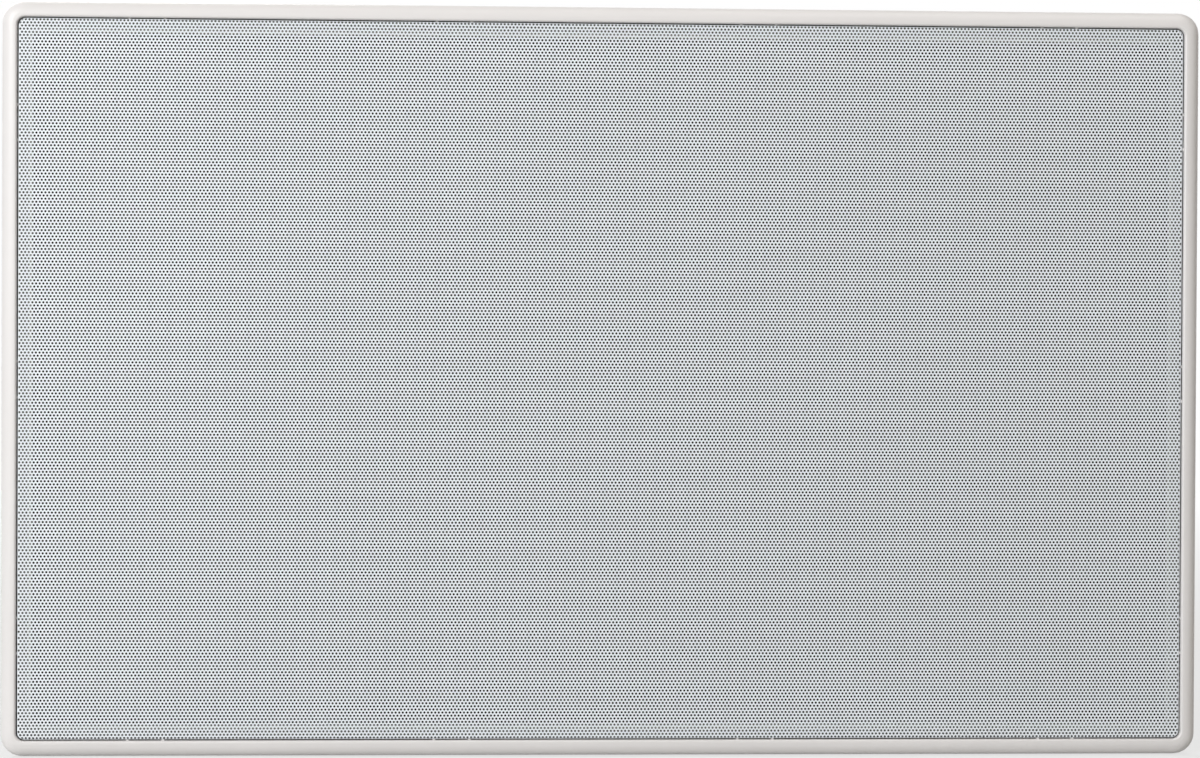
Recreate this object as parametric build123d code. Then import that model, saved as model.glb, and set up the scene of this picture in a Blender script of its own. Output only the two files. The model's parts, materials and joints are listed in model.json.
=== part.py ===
from build123d import *
import os
from math import asin, cos, degrees, radians, sin

# In wall speaker, lying wide: a moulded frame with a press-in perforated grille, two woofers
# and a tweeter on a baffle, a crossover board behind it and four swing-out wall clamps.
# Millimetres. X to the right, Y into the wall, Z up. The wall face is the plane Y = 0.

# Frame
frame_length = 368.0
frame_height = 230.0
end_margin = 6.5
frame_corner = 6.5
bezel_width = 5.0
bezel_proud = 6.5
bezel_round = 4.0
bezel_inner_round = 0.6
flange_thickness = 2.5
flange_overlap = 13.0
skirt_wall = 2.5
skirt_corner = 5.0
ledge_thickness = 2.2
ledge_edge = 1.2

# Grille with its retention nubs
grille_gap = 0.35
grille_recess = 0.9
grille_sheet = 0.6
grille_corner = 2.2
grille_fold_round = 0.5
nub_radius = 0.6
nub_clearance = 0.05
nub_pair_spacing = 10.8
nub_pitch_long = 93.3
nub_pairs_long = 4
nub_pitch_short = 78.0
nub_pairs_short = 3
scrim_thickness = 0.4
scrim_margin = 0.5

# Baffle
baffle_setback = 6.0
baffle_thickness = 2.8
baffle_clearance = 0.3
rib_depth = 6.0
rib_thickness = 2.4
rib_side_gap = 10.0
baffle_screw_inset = 5.2
baffle_screw_x = 42.0
baffle_screw_z = 62.0
boss_wall = 2.0

# Fixing screws
screw_radius = 1.6
screw_length = 9.0
screw_head_radius = 3.2
screw_head_height = 2.2
screw_head_flat = 0.6
screw_tip = 1.2
screw_fit = 0.1
screw_pass = 0.5
drive_radius = 1.7
drive_width = 0.9
drive_depth = 1.1

# Woofers, radii from the driver's axis and depths from the baffle's front face
driver_gap = 2.0
basket_rim_width = 10.7
basket_sheet = 1.2
basket_clearance = 0.8
basket_taper = 12.3
shelf_depth = 18.0
shelf_width = 7.0
seat_drop = 11.0
seat_taper = 5.0
window_count = 6
window_angle = 42.0
window_front = 5.0
window_shelf_gap = 2.0
window_corner = 2.5
woofer_screw_edge = 3.0
woofer_screw_count = 4
surround_sheet = 0.7
roll_radius = 4.0
surround_land = 4.5
gasket_height = 1.8
gasket_inset = 0.6
cone_sheet = 0.8
cone_lip = 3.2
cone_neck_gap = 3.0
glue_gap = 0.05
dust_cap_margin = 5.75
dust_cap_height = 6.0
coil_inner = 12.75
coil_wall = 0.5
coil_stub = 3.5
coil_overhang = 4.3
winding_thickness = 0.5
winding_overhang = 3.2
motor_gap = 0.45
spider_sheet = 0.6
spider_waves = 4
spider_wave_height = 1.4
spider_edge_gap = 0.6
spider_collar = 2.0
top_plate_radius = 35.0
top_plate_thickness = 4.0
magnet_inner = 18.0
magnet_outer = 38.0
magnet_thickness = 12.0
yoke_thickness = 5.0
yoke_bevel = 2.5
pole_vent = 4.0
strip_length = 11.0
strip_width = 16.0
strip_thickness = 1.5
strip_angle = 31.0
lug_width = 4.0
lug_length = 6.0
lug_thickness = 0.8
lug_spacing = 8.0

# Tweeter, radii from its axis and depths from the baffle's front face
tweeter_plate = 3.0
tweeter_plate_bevel = 1.2
tweeter_rim_width = 6.0
tweeter_spigot_wall = 2.8
tweeter_spigot_depth = 4.0
tweeter_clearance = 0.4
horn_flare = 5.8
horn_throat_depth = 1.6
tweeter_screw_edge = 3.1
tweeter_screw_count = 4
tweeter_screw_radius = 1.2
tweeter_screw_head = 2.2
tweeter_screw_head_height = 1.4
tweeter_screw_length = 10.0
dome_radius = 12.9
dome_height = 4.6
dome_sheet = 0.4
dome_roll = 1.3
dome_land = 0.7
dome_land_gap = 0.2
tweeter_coil_wall = 0.5
tweeter_coil_back = 9.5
tweeter_gap = 0.4
tweeter_top_thickness = 3.0
cup_wall = 2.4
cup_depth = 13.0
pole_thickness = 2.8
tweeter_strip_width = 16.0
tweeter_strip_height = 7.0

# Crossover board and what stands on it, in a lower and an upper row
board_edge_gap = 2.0
board_thickness = 1.6
board_gap = 2.2
board_screw_inset = 4.0
board_left_margin = 5.0
board_right_margin = 10.0
board_low_margin = 3.5
board_high_margin = 6.3
row_gap = 4.0
stack_gap = 2.2
coil_large_radius = 15.0
coil_large_height = 16.0
coil_small_radius = 10.0
coil_small_height = 13.0
winding_depth = 6.0
bobbin_flange = 1.6
bobbin_bore = 3.0
coil_large_tail_angles = (150.0, 210.0)
coil_small_tail_angles = (100.0, 150.0)
winding_inset = 1.2
capacitor_large_radius = 6.0
capacitor_large_length = 22.0
capacitor_small_radius = 5.0
capacitor_small_length = 24.0
capacitor_small_shift = 3.0
capacitor_edge = 0.8
capacitor_lift = 0.6
glue_bed_end = 3.5
resistor_width = 7.0
resistor_length = 22.0
resistor_edge = 0.6
lead_radius = 0.4
lead_reach = 1.3
tail_gap = 0.2
tail_lift = 1.0

# Speaker terminals with push buttons
terminal_width = 12.0
terminal_height = 20.0
terminal_depth = 14.0
terminal_edge = 0.8
button_size = 7.4
button_clearance = 0.3
button_wall = 2.0
button_proud = 5.0
button_well = 10.0
button_rest_gap = 3.6
button_edge = 0.7
wire_hole_radius = 1.6
wire_hole_depth = 9.0
wire_hole_edge = 4.4

# Wall clamps
clamp_end_inset = 46.0
tower_edge = 1.2
clamp_screw_radius = 2.0
clamp_screw_fit = 0.25
clamp_head_radius = 3.8
clamp_head_height = 2.3
clamp_head_room = 1.2
tower_room = 0.7
tower_wall = 1.8
tower_back = 57.0
tower_cap = 2.5
tower_swing_margin = 3.5
arm_hub_radius = 6.3
arm_hub_length = 16.0
arm_back_gap = 0.8
arm_reach = 26.0
arm_half_width = 4.8
arm_thickness = 7.0
foot_length = 9.0
foot_drop = 11.0
foot_round = 1.5
arm_bore_fit = 0.15

# Sizes and places that follow from those above
horn_throat = dome_radius + 2 * dome_roll + dome_land
horn_mouth = horn_throat + horn_flare
tweeter_rim = horn_mouth + tweeter_rim_width
tweeter_spigot = horn_throat + tweeter_spigot_wall
tweeter_hole = tweeter_spigot + tweeter_clearance
tweeter_screw_circle = tweeter_rim - tweeter_screw_edge
cup_radius = tweeter_spigot - tweeter_clearance
cup_front = tweeter_spigot_depth + tweeter_top_thickness
cup_back = cup_front + cup_depth
tweeter_coil_inner = dome_radius - tweeter_coil_wall / 2
tweeter_coil_outer = tweeter_coil_inner + tweeter_coil_wall
pole_radius = tweeter_coil_inner - tweeter_gap

well_length = frame_length - 2 * (flange_overlap + skirt_wall)
skirt_length = well_length + 2 * skirt_wall
skirt_height = frame_height - 2 * flange_overlap
well_height = skirt_height - 2 * skirt_wall
well_corner = skirt_corner - skirt_wall
opening_length = frame_length - 2 * bezel_width
opening_height = frame_height - 2 * bezel_width
opening_corner = grille_corner + grille_gap
grille_length = opening_length - 2 * grille_gap
grille_height = opening_height - 2 * grille_gap
grille_front = grille_recess - bezel_proud
ledge_front = baffle_setback + baffle_thickness
ledge_back = ledge_front + ledge_thickness
boss_radius = screw_radius + boss_wall

# The two woofers are as large as the frame's length leaves room for beside the tweeter
woofer_rim = (well_length / 2 - end_margin - driver_gap - tweeter_rim) / 2
woofer_x = tweeter_rim + driver_gap + woofer_rim
basket_mouth = woofer_rim - basket_rim_width
woofer_screw_circle = woofer_rim - woofer_screw_edge
basket_hole = basket_mouth + basket_sheet + basket_clearance
shelf_outer = basket_mouth - basket_taper
shelf_inner = shelf_outer - shelf_width
seat_outer = shelf_inner - seat_taper
seat_depth = shelf_depth + seat_drop
top_plate_front = seat_depth + basket_sheet
magnet_front = top_plate_front + top_plate_thickness
yoke_front = magnet_front + magnet_thickness
coil_outer = coil_inner + coil_wall
winding_outer = coil_outer + winding_thickness
gap_outer = winding_outer + motor_gap
cone_neck_depth = shelf_depth - cone_neck_gap
dust_cap_radius = coil_outer + dust_cap_margin

tower_inner = arm_hub_radius + tower_room
tower_outer = tower_inner + tower_wall
clamp_inset = tower_outer + tower_edge
clamp_x = skirt_length / 2 - clamp_end_inset
clamp_z = skirt_height / 2 - clamp_inset
clamp_hole = clamp_screw_radius + clamp_screw_fit
window_length = well_length - 2 * (baffle_screw_inset + boss_radius + ledge_edge)
window_height = skirt_height - 2 * (clamp_inset + tower_outer + ledge_edge)

board_setback = ledge_front + rib_depth + board_gap
board_back = board_setback + board_thickness
board_low = board_edge_gap - window_height / 2
board_width = (
    board_left_margin
    + 2 * coil_large_radius
    + resistor_width
    + 2 * terminal_width
    + 3 * row_gap
    + board_right_margin
)
board_height = (
    board_low_margin
    + 2 * coil_large_radius
    + stack_gap
    + 2 * capacitor_small_radius
    + board_high_margin
)
board_centre_z = board_low + board_height / 2
row_low = board_low + board_low_margin
coil_large_x = board_left_margin + coil_large_radius - board_width / 2
coil_large_z = row_low + coil_large_radius
resistor_x = coil_large_x + coil_large_radius + row_gap + resistor_width / 2
resistor_z = row_low + resistor_length / 2
terminal_red_x = resistor_x + resistor_width / 2 + row_gap + terminal_width / 2
terminal_x = {"red": terminal_red_x, "black": terminal_red_x + terminal_width + row_gap}
terminal_z = row_low + terminal_height / 2
terminal_back = board_back + terminal_depth
row_high = row_low + terminal_height + stack_gap
capacitor_large_x = terminal_x["black"]
capacitor_large_z = row_high + capacitor_large_length / 2
coil_small_x = capacitor_large_x - capacitor_large_radius - stack_gap - coil_small_radius
coil_small_z = row_high + coil_small_radius
capacitor_small_x = coil_large_x + capacitor_small_shift
capacitor_small_z = coil_large_z + coil_large_radius + stack_gap + capacitor_small_radius
button_room = button_size + 2 * button_clearance
button_z = terminal_z + terminal_height / 2 - button_wall - button_room / 2
wire_hole_z = terminal_z - terminal_height / 2 + wire_hole_edge

baffle_screw_spots = [
    (side * (well_length / 2 - baffle_screw_inset), end * baffle_screw_z)
    for side in (-1, 1)
    for end in (-1, 1)
] + [
    (side * baffle_screw_x, end * (well_height / 2 - baffle_screw_inset))
    for side in (-1, 1)
    for end in (-1, 1)
]
board_screw_spots = [
    (
        side * (board_width / 2 - board_screw_inset),
        board_centre_z + end * (board_height / 2 - board_screw_inset),
    )
    for side in (-1, 1)
    for end in (-1, 1)
]
clamp_spots = {
    "top_left": (-1, 1),
    "top_right": (1, 1),
    "bottom_left": (-1, -1),
    "bottom_right": (1, -1),
}
woofer_sides = {"left": -1, "right": 1}


def slab(outline, y_front, y_back):
    # A flat outline drawn in X and Z, carried from one depth back to another.
    return extrude(Plane.XZ.offset(-y_front) * outline, amount=y_back - y_front, dir=(0, 1, 0))


def disc(radius, y_front, y_back, x=0, z=0):
    return slab(Pos(x, z) * Circle(radius), y_front, y_back)


def turned(outline):
    # A closed outline of radius and depth, spun about the Y axis.
    return revolve(make_face(outline), Axis.Y)


def turned_points(*points):
    return turned(Polyline(*points, close=True))


def sector(radius, start, end):
    # A pie slice in X and Z, angles in degrees from X towards Z.
    first = (radius * cos(radians(start)), radius * sin(radians(start)))
    last = (radius * cos(radians(end)), radius * sin(radians(end)))
    arc = CenterArc((0, 0), radius, start, end - start)
    return make_face([Line((0, 0), first), arc, Line(last, (0, 0))])


def circle_spots(radius, count, x=0, z=0):
    # Evenly spaced places on a circle, none of them straight above the centre.
    step = 360.0 / count
    angles = [radians((i + 0.5) * step) for i in range(count)]
    return [(x + radius * cos(a), z + radius * sin(a)) for a in angles]


def cap_arc(radius, rim_y, height):
    # Half of a shallow dome's outline, from its top on the axis out to its rim.
    ball = (radius**2 + height**2) / (2 * height)
    half_radius = radius / 2
    half_y = rim_y - height + ball - (ball**2 - half_radius**2) ** 0.5
    return ThreePointArc((0, rim_y - height), (half_radius, half_y), (radius, rim_y))


def screw(x, z, seat_y, shank, length, head, head_height):
    # A pan-head screw pointing along Y, with a cross recess in its head.
    crown = seat_y - head_height
    end = seat_y + length
    body = turned_points(
        (0, crown),
        (head * screw_head_flat, crown),
        (head, seat_y - head_height * screw_head_flat),
        (head, seat_y),
        (shank, seat_y),
        (shank, end - screw_tip),
        (shank - screw_tip / 2, end),
        (0, end),
    )
    cross = Rectangle(2 * drive_radius, drive_width) + Rectangle(drive_width, 2 * drive_radius)
    return Pos(x, 0, z) * (body - slab(cross, crown, crown + drive_depth))


def make_nubs():
    # Small upright ribs on the pocket's wall, in pairs, that hold the grille centred.
    reach = grille_gap - nub_clearance
    along = [
        (i - (nub_pairs_long - 1) / 2) * nub_pitch_long + s * nub_pair_spacing / 2
        for i in range(nub_pairs_long)
        for s in (-1, 1)
    ]
    up = [
        (i - (nub_pairs_short - 1) / 2) * nub_pitch_short + s * nub_pair_spacing / 2
        for i in range(nub_pairs_short)
        for s in (-1, 1)
    ]
    edge_x = opening_length / 2 + nub_radius - reach
    edge_z = opening_height / 2 + nub_radius - reach
    places = [(x, s * edge_z) for x in along for s in (-1, 1)]
    places += [(s * edge_x, z) for z in up for s in (-1, 1)]
    front = grille_front + grille_fold_round
    return [disc(nub_radius, front, -flange_thickness, x, z) for x, z in places]


def tower(x_side, z_side):
    # The shell that a clamp arm folds against, open on the two sides that the arm swings through.
    # The arm folds towards the middle of the frame and swings out past the long edge.
    half_swept = degrees(asin(arm_half_width / tower_inner)) + tower_swing_margin
    shell = sector(tower_outer, 90 + half_swept, 360 - half_swept) - Circle(tower_inner)
    body = slab(shell, ledge_front, tower_back + tower_cap)
    cap = Circle(tower_outer) - Circle(clamp_hole)
    body += slab(cap, tower_back, tower_back + tower_cap)
    return placed_clamp(body, x_side, z_side)


def placed_clamp(shape, x_side, z_side):
    # Clamps are drawn for the lower end of X and the upper edge, then mirrored to each corner.
    if x_side > 0:
        shape = mirror(shape, Plane.YZ)
    if z_side < 0:
        shape = mirror(shape, Plane.XY)
    return Pos(x_side * clamp_x, 0, z_side * clamp_z) * shape


def make_frame():
    outer = RectangleRounded(frame_length, frame_height, frame_corner)
    opening = RectangleRounded(opening_length, opening_height, opening_corner)
    skirt = RectangleRounded(skirt_length, skirt_height, skirt_corner)
    well = RectangleRounded(well_length, well_height, well_corner)
    window = RectangleRounded(window_length, window_height, well_corner)
    body = slab(outer, -bezel_proud, 0)
    body = fillet(body.edges().group_by(Axis.Y)[0], bezel_round)
    body -= slab(opening, -bezel_proud, -flange_thickness)
    near_x = opening_length / 2 + bezel_inner_round
    near_z = opening_height / 2 + bezel_inner_round
    inner_crest = [
        edge
        for edge in body.edges().group_by(Axis.Y)[0]
        if abs(edge.center().X) < near_x and abs(edge.center().Z) < near_z
    ]
    body = fillet(inner_crest, bezel_inner_round)
    body += slab(skirt, -flange_thickness, ledge_back)
    body -= slab(well, -flange_thickness, ledge_front)
    body -= slab(window, ledge_front, ledge_back)
    for nub in make_nubs():
        body += nub
    for x, z in baffle_screw_spots:
        body += disc(boss_radius, ledge_front, ledge_front + screw_length, x, z)
    for x_side, z_side in clamp_spots.values():
        body += tower(x_side, z_side)
    for x, z in baffle_screw_spots:
        body -= disc(screw_radius + screw_fit, ledge_front, ledge_front + screw_length, x, z)
    for x_side, z_side in clamp_spots.values():
        body -= disc(clamp_hole, ledge_front, ledge_back, x_side * clamp_x, z_side * clamp_z)
    return body


def make_grille():
    # A shallow tray: the flat sheet with its folded edge, which stands on the pocket's floor.
    outline = RectangleRounded(grille_length, grille_height, grille_corner)
    inner_corner = grille_corner - grille_sheet
    inside = RectangleRounded(
        grille_length - 2 * grille_sheet, grille_height - 2 * grille_sheet, inner_corner
    )
    body = slab(outline, grille_front, -flange_thickness)
    body = fillet(body.edges().group_by(Axis.Y)[0], grille_fold_round)
    return body - slab(inside, grille_front + grille_sheet, -flange_thickness)


def make_scrim():
    margin = 2 * (grille_sheet + scrim_margin)
    cloth = Rectangle(grille_length - margin, grille_height - margin)
    back_of_sheet = grille_front + grille_sheet
    return slab(cloth, back_of_sheet, back_of_sheet + scrim_thickness)


def make_baffle():
    length = well_length - 2 * baffle_clearance
    height = well_height - 2 * baffle_clearance
    plate = RectangleRounded(length, height, well_corner)
    body = slab(plate, baffle_setback, ledge_front)
    rib_back = ledge_front + rib_depth
    reach_x = window_length / 2 - rib_side_gap
    reach_z = window_height / 2 - rib_side_gap
    for s in (-1, 1):
        long_rib = Pos(0, s * reach_z) * Rectangle(2 * reach_x, rib_thickness)
        cross_rib = Pos(s * (tweeter_rim + rib_thickness), 0) * Rectangle(rib_thickness, 2 * reach_z)
        end_rib = Pos(s * reach_x, 0) * Rectangle(rib_thickness, 2 * reach_z + rib_thickness)
        for rib in (long_rib, cross_rib, end_rib):
            body += slab(rib, ledge_front, rib_back)
    for s in woofer_sides.values():
        body += disc(basket_hole + rib_thickness, ledge_front, rib_back, s * woofer_x)
    body += disc(tweeter_hole + rib_thickness, ledge_front, rib_back)
    woofer_spots = [
        spot
        for s in woofer_sides.values()
        for spot in circle_spots(woofer_screw_circle, woofer_screw_count, s * woofer_x)
    ]
    tweeter_spots = circle_spots(tweeter_screw_circle, tweeter_screw_count)
    tweeter_boss = tweeter_screw_radius + boss_wall
    for x, z in woofer_spots:
        body += disc(boss_radius, ledge_front, baffle_setback + screw_length, x, z)
    for x, z in tweeter_spots:
        body += disc(tweeter_boss, ledge_front, baffle_setback + tweeter_screw_length, x, z)
    for x, z in board_screw_spots:
        body += disc(boss_radius, ledge_front, board_setback, x, z)
    for s in woofer_sides.values():
        body -= disc(basket_hole, baffle_setback, rib_back, s * woofer_x)
    body -= disc(tweeter_hole, baffle_setback, rib_back)
    for x, z in woofer_spots:
        body -= disc(screw_radius + screw_fit, baffle_setback, baffle_setback + screw_length, x, z)
    for x, z in tweeter_spots:
        depth = baffle_setback + tweeter_screw_length
        body -= disc(tweeter_screw_radius + screw_fit, baffle_setback, depth, x, z)
    for x, z in board_screw_spots:
        body -= disc(screw_radius + screw_fit, board_back - screw_length, board_setback, x, z)
    for x, z in baffle_screw_spots:
        body -= disc(screw_radius + screw_pass, baffle_setback, ledge_front, x, z)
    for x_side, z_side in clamp_spots.values():
        room = clamp_head_radius + clamp_head_room
        body -= disc(room, baffle_setback, ledge_front, x_side * clamp_x, z_side * clamp_z)
    return body


def make_basket():
    # A pressed steel dish: rim, slanted wall with windows, spider shelf and motor seat.
    t = basket_sheet
    body = turned_points(
        (woofer_rim, -t),
        (basket_mouth, -t),
        (shelf_outer, shelf_depth),
        (shelf_inner, shelf_depth),
        (seat_outer, seat_depth),
        (gap_outer, seat_depth),
        (gap_outer, seat_depth + t),
        (seat_outer + t, seat_depth + t),
        (shelf_inner + t, shelf_depth + t),
        (shelf_outer + t, shelf_depth + t),
        (basket_mouth + t, 0),
        (woofer_rim, 0),
    )
    slice_shape = sector(woofer_rim, -window_angle / 2, window_angle / 2) - Circle(shelf_inner)
    window = slab(slice_shape, window_front, shelf_depth - window_shelf_gap)
    level_edges = window.edges().filter_by(GeomType.LINE) - window.edges().filter_by(Axis.Y)
    window = fillet(level_edges, window_corner)
    for i in range(window_count):
        body -= Rot(0, i * 360.0 / window_count, 0) * window
    for x, z in circle_spots(woofer_screw_circle, woofer_screw_count):
        body -= disc(screw_radius + screw_pass, -t, 0, x, z)
    return body


def make_surround():
    # A half roll between two flat lands, one glued to the basket's rim and one to the cone.
    s = surround_sheet
    back = -basket_sheet
    front = back - s
    roll_centre = basket_mouth - roll_radius
    crest = back - roll_radius
    outer_land = basket_mouth + surround_land
    inner_land = roll_centre - roll_radius - cone_lip
    inner_radius = roll_radius - s
    # The outer arc leaves each land at the land's front face.
    foot = (roll_radius**2 - s**2) ** 0.5
    outline = [
        Line((outer_land, back), (outer_land, front)),
        Line((outer_land, front), (roll_centre + foot, front)),
        ThreePointArc((roll_centre + foot, front), (roll_centre, crest), (roll_centre - foot, front)),
        Line((roll_centre - foot, front), (inner_land, front)),
        Line((inner_land, front), (inner_land, back)),
        Line((inner_land, back), (roll_centre - inner_radius, back)),
        ThreePointArc(
            (roll_centre - inner_radius, back), (roll_centre, crest + s), (roll_centre + inner_radius, back)
        ),
        Line((roll_centre + inner_radius, back), (outer_land, back)),
    ]
    return turned(outline)


def make_gasket():
    back = -basket_sheet - surround_sheet
    inner = basket_mouth + gasket_inset
    outer = basket_mouth + surround_land
    return turned_points(
        (inner, back), (outer, back), (outer, back - gasket_height), (inner, back - gasket_height)
    )


def cone_points():
    # The front face of the cone: depth of its lip, and the lip's outer and inner radius.
    lip_y = glue_gap - basket_sheet
    lip_outer = basket_mouth - 2 * roll_radius
    return lip_y, lip_outer, lip_outer - cone_lip


def make_cone():
    lip_y, lip_outer, lip_inner = cone_points()
    t = cone_sheet
    return turned_points(
        (lip_outer, lip_y),
        (lip_inner, lip_y),
        (coil_outer, cone_neck_depth),
        (coil_outer, cone_neck_depth + t),
        (lip_inner, lip_y + t),
        (lip_outer, lip_y + t),
    )


def cone_front(radius):
    # Depth of the cone's front face at a radius.
    lip_y, _, lip_inner = cone_points()
    return lip_y + (cone_neck_depth - lip_y) * (lip_inner - radius) / (lip_inner - coil_outer)


def make_dust_cap():
    back_y = cone_front(dust_cap_radius) - glue_gap
    rim_y = back_y - cone_sheet
    outline = [
        cap_arc(dust_cap_radius, rim_y, dust_cap_height),
        Line((dust_cap_radius, rim_y), (dust_cap_radius, back_y)),
        cap_arc(dust_cap_radius, back_y, dust_cap_height),
        Line((0, back_y - dust_cap_height), (0, rim_y - dust_cap_height)),
    ]
    return turned(outline)


def make_voice_coil():
    coil_front = cone_neck_depth - coil_stub
    coil_back = magnet_front + coil_overhang
    winding_front = top_plate_front - winding_overhang
    return turned_points(
        (coil_inner, coil_front),
        (coil_outer, coil_front),
        (coil_outer, winding_front),
        (winding_outer, winding_front),
        (winding_outer, coil_back),
        (coil_inner, coil_back),
    )


def make_spider():
    # A corrugated cloth disc from the coil out to the basket's shelf, folded in straight flanks.
    collar = coil_outer + glue_gap
    first = collar + spider_collar
    land = shelf_inner - spider_edge_gap
    rim = shelf_outer - spider_edge_gap
    back = shelf_depth
    front = back - spider_sheet
    step = (land - first) / (2 * spider_waves)
    folds = [
        (first + (i + 0.5) * step, spider_wave_height if i % 2 else -spider_wave_height)
        for i in range(2 * spider_waves)
    ]
    face = [(collar, 0), (first, 0)] + folds + [(land, 0), (rim, 0)]
    front_points = [(r, front + y) for r, y in face]
    back_points = [(r, back + y) for r, y in reversed(face)]
    return turned_points(*front_points, *back_points)


def ring(inner, outer, front, back):
    return turned_points((inner, front), (outer, front), (outer, back), (inner, back))


def make_yoke():
    # Back plate and vented pole, one steel turning.
    pole = coil_inner - motor_gap
    back = yoke_front + yoke_thickness
    return turned_points(
        (pole_vent, top_plate_front),
        (pole, top_plate_front),
        (pole, yoke_front),
        (top_plate_radius, yoke_front),
        (top_plate_radius, back - yoke_bevel),
        (top_plate_radius - yoke_bevel, back),
        (pole_vent, back),
    )


def make_terminal_strip(angle):
    # An insulating strip on the back of the spider shelf with two lugs that stand out past it.
    front = shelf_depth + basket_sheet
    start = shelf_inner + basket_sheet
    plate = Pos(start + strip_length / 2, 0) * Rectangle(strip_length, strip_width)
    body = slab(plate, front, front + strip_thickness)
    lug_start = start + strip_length / 2
    lug_run = strip_length / 2 + lug_length
    for s in (-1, 1):
        lug = Pos(lug_start + lug_run / 2, s * lug_spacing / 2) * Rectangle(lug_run, lug_width)
        body += slab(lug, front + strip_thickness, front + strip_thickness + lug_thickness)
    return Rot(0, angle, 0) * body


def woofer_pieces(side):
    # Every piece of one woofer, about its own axis with the baffle's face at zero depth.
    # The terminal strip points down towards the crossover board.
    angle = strip_angle if side < 0 else 180 - strip_angle
    return {
        "basket": make_basket(),
        "surround": make_surround(),
        "gasket": make_gasket(),
        "cone": make_cone(),
        "dust_cap": make_dust_cap(),
        "voice_coil": make_voice_coil(),
        "spider": make_spider(),
        "top_plate": ring(gap_outer, top_plate_radius, top_plate_front, magnet_front),
        "magnet": ring(magnet_inner, magnet_outer, magnet_front, yoke_front),
        "yoke": make_yoke(),
        "terminals": make_terminal_strip(angle),
    }


def make_faceplate():
    # A round plate with a flared mouth and a spigot through the baffle.
    body = turned_points(
        (horn_throat, horn_throat_depth),
        (horn_mouth, -tweeter_plate),
        (tweeter_rim - tweeter_plate_bevel, -tweeter_plate),
        (tweeter_rim, tweeter_plate_bevel - tweeter_plate),
        (tweeter_rim, 0),
        (tweeter_spigot, 0),
        (tweeter_spigot, tweeter_spigot_depth),
        (horn_throat, tweeter_spigot_depth),
    )
    sink = tweeter_screw_head + screw_pass
    sink_floor = tweeter_screw_head_height - tweeter_plate
    for x, z in circle_spots(tweeter_screw_circle, tweeter_screw_count):
        body -= disc(tweeter_screw_radius + screw_pass, -tweeter_plate, 0, x, z)
        body -= disc(sink, -tweeter_plate, sink_floor, x, z)
    return body


def make_dome():
    # Dome and its small roll, formed from one skin, on a land glued to the top plate.
    back = tweeter_spigot_depth
    front = back - dome_sheet
    roll_centre = dome_radius + dome_roll
    roll_end = roll_centre + dome_roll
    land = horn_throat - dome_land_gap
    outline = [
        cap_arc(dome_radius, front, dome_height),
        ThreePointArc((dome_radius, front), (roll_centre, front - dome_roll), (roll_end, front)),
        Line((roll_end, front), (land, front)),
        Line((land, front), (land, back)),
        Line((land, back), (roll_end - dome_sheet, back)),
        ThreePointArc(
            (roll_end - dome_sheet, back),
            (roll_centre, back - dome_roll),
            (dome_radius + dome_sheet, back),
        ),
        Line((dome_radius + dome_sheet, back), (dome_radius, back)),
        cap_arc(dome_radius, back, dome_height),
        Line((0, back - dome_height), (0, front - dome_height)),
    ]
    return turned(outline)


def make_cup():
    inner = cup_radius - cup_wall
    floor = cup_back - cup_wall
    return turned_points(
        (inner, cup_front),
        (cup_radius, cup_front),
        (cup_radius, cup_back),
        (0, cup_back),
        (0, floor),
        (inner, floor),
    )


def make_tweeter_terminals():
    # An insulating strip on the back of the cup with two lugs.
    strip = Rectangle(tweeter_strip_width, tweeter_strip_height)
    strip_back = cup_back + strip_thickness
    body = slab(strip, cup_back, strip_back)
    for s in (-1, 1):
        run = tweeter_strip_height / 2 + lug_length
        lug = Pos(s * lug_spacing / 2, -run / 2) * Rectangle(lug_width, run)
        body += slab(lug, strip_back, strip_back + lug_thickness)
    return body


def tweeter_pieces():
    # The coil runs in the gap between the pole plate on the magnet and the top plate on the cup.
    return {
        "tweeter_faceplate": make_faceplate(),
        "tweeter_dome": make_dome(),
        "tweeter_voice_coil": ring(
            tweeter_coil_inner, tweeter_coil_outer, tweeter_spigot_depth, tweeter_coil_back
        ),
        "tweeter_top_plate": ring(
            tweeter_coil_outer + tweeter_gap, cup_radius, tweeter_spigot_depth, cup_front
        ),
        "tweeter_pole_plate": disc(pole_radius, cup_front - pole_thickness, cup_front),
        "tweeter_magnet": disc(pole_radius - tweeter_gap, cup_front, cup_back - cup_wall),
        "tweeter_cup": make_cup(),
        "tweeter_terminals": make_tweeter_terminals(),
    }


def make_board():
    board = Pos(0, board_centre_z) * Rectangle(board_width, board_height)
    body = slab(board, board_setback, board_back)
    for x, z in board_screw_spots:
        body -= disc(screw_radius + screw_pass, board_setback, board_back, x, z)
    return body


def wire_leads(end, drop):
    # Two wire leads out of the ends of a part that lies along Z, each bent down into the board.
    reach = end + lead_reach
    leads = extrude(Circle(lead_radius), amount=reach, both=True)
    for s in (-1, 1):
        leads += slab(Pos(0, s * reach) * Circle(lead_radius), -drop, lead_radius)
    return leads


def winding_tail(start, end, drop):
    # The end of a winding: straight out past the bobbin's flange, then down into the board.
    tail = Pos(start, 0, 0) * extrude(Plane.YZ * Circle(lead_radius), amount=end - start)
    return tail + slab(Pos(end, 0) * Circle(lead_radius), -drop, lead_radius)


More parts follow.
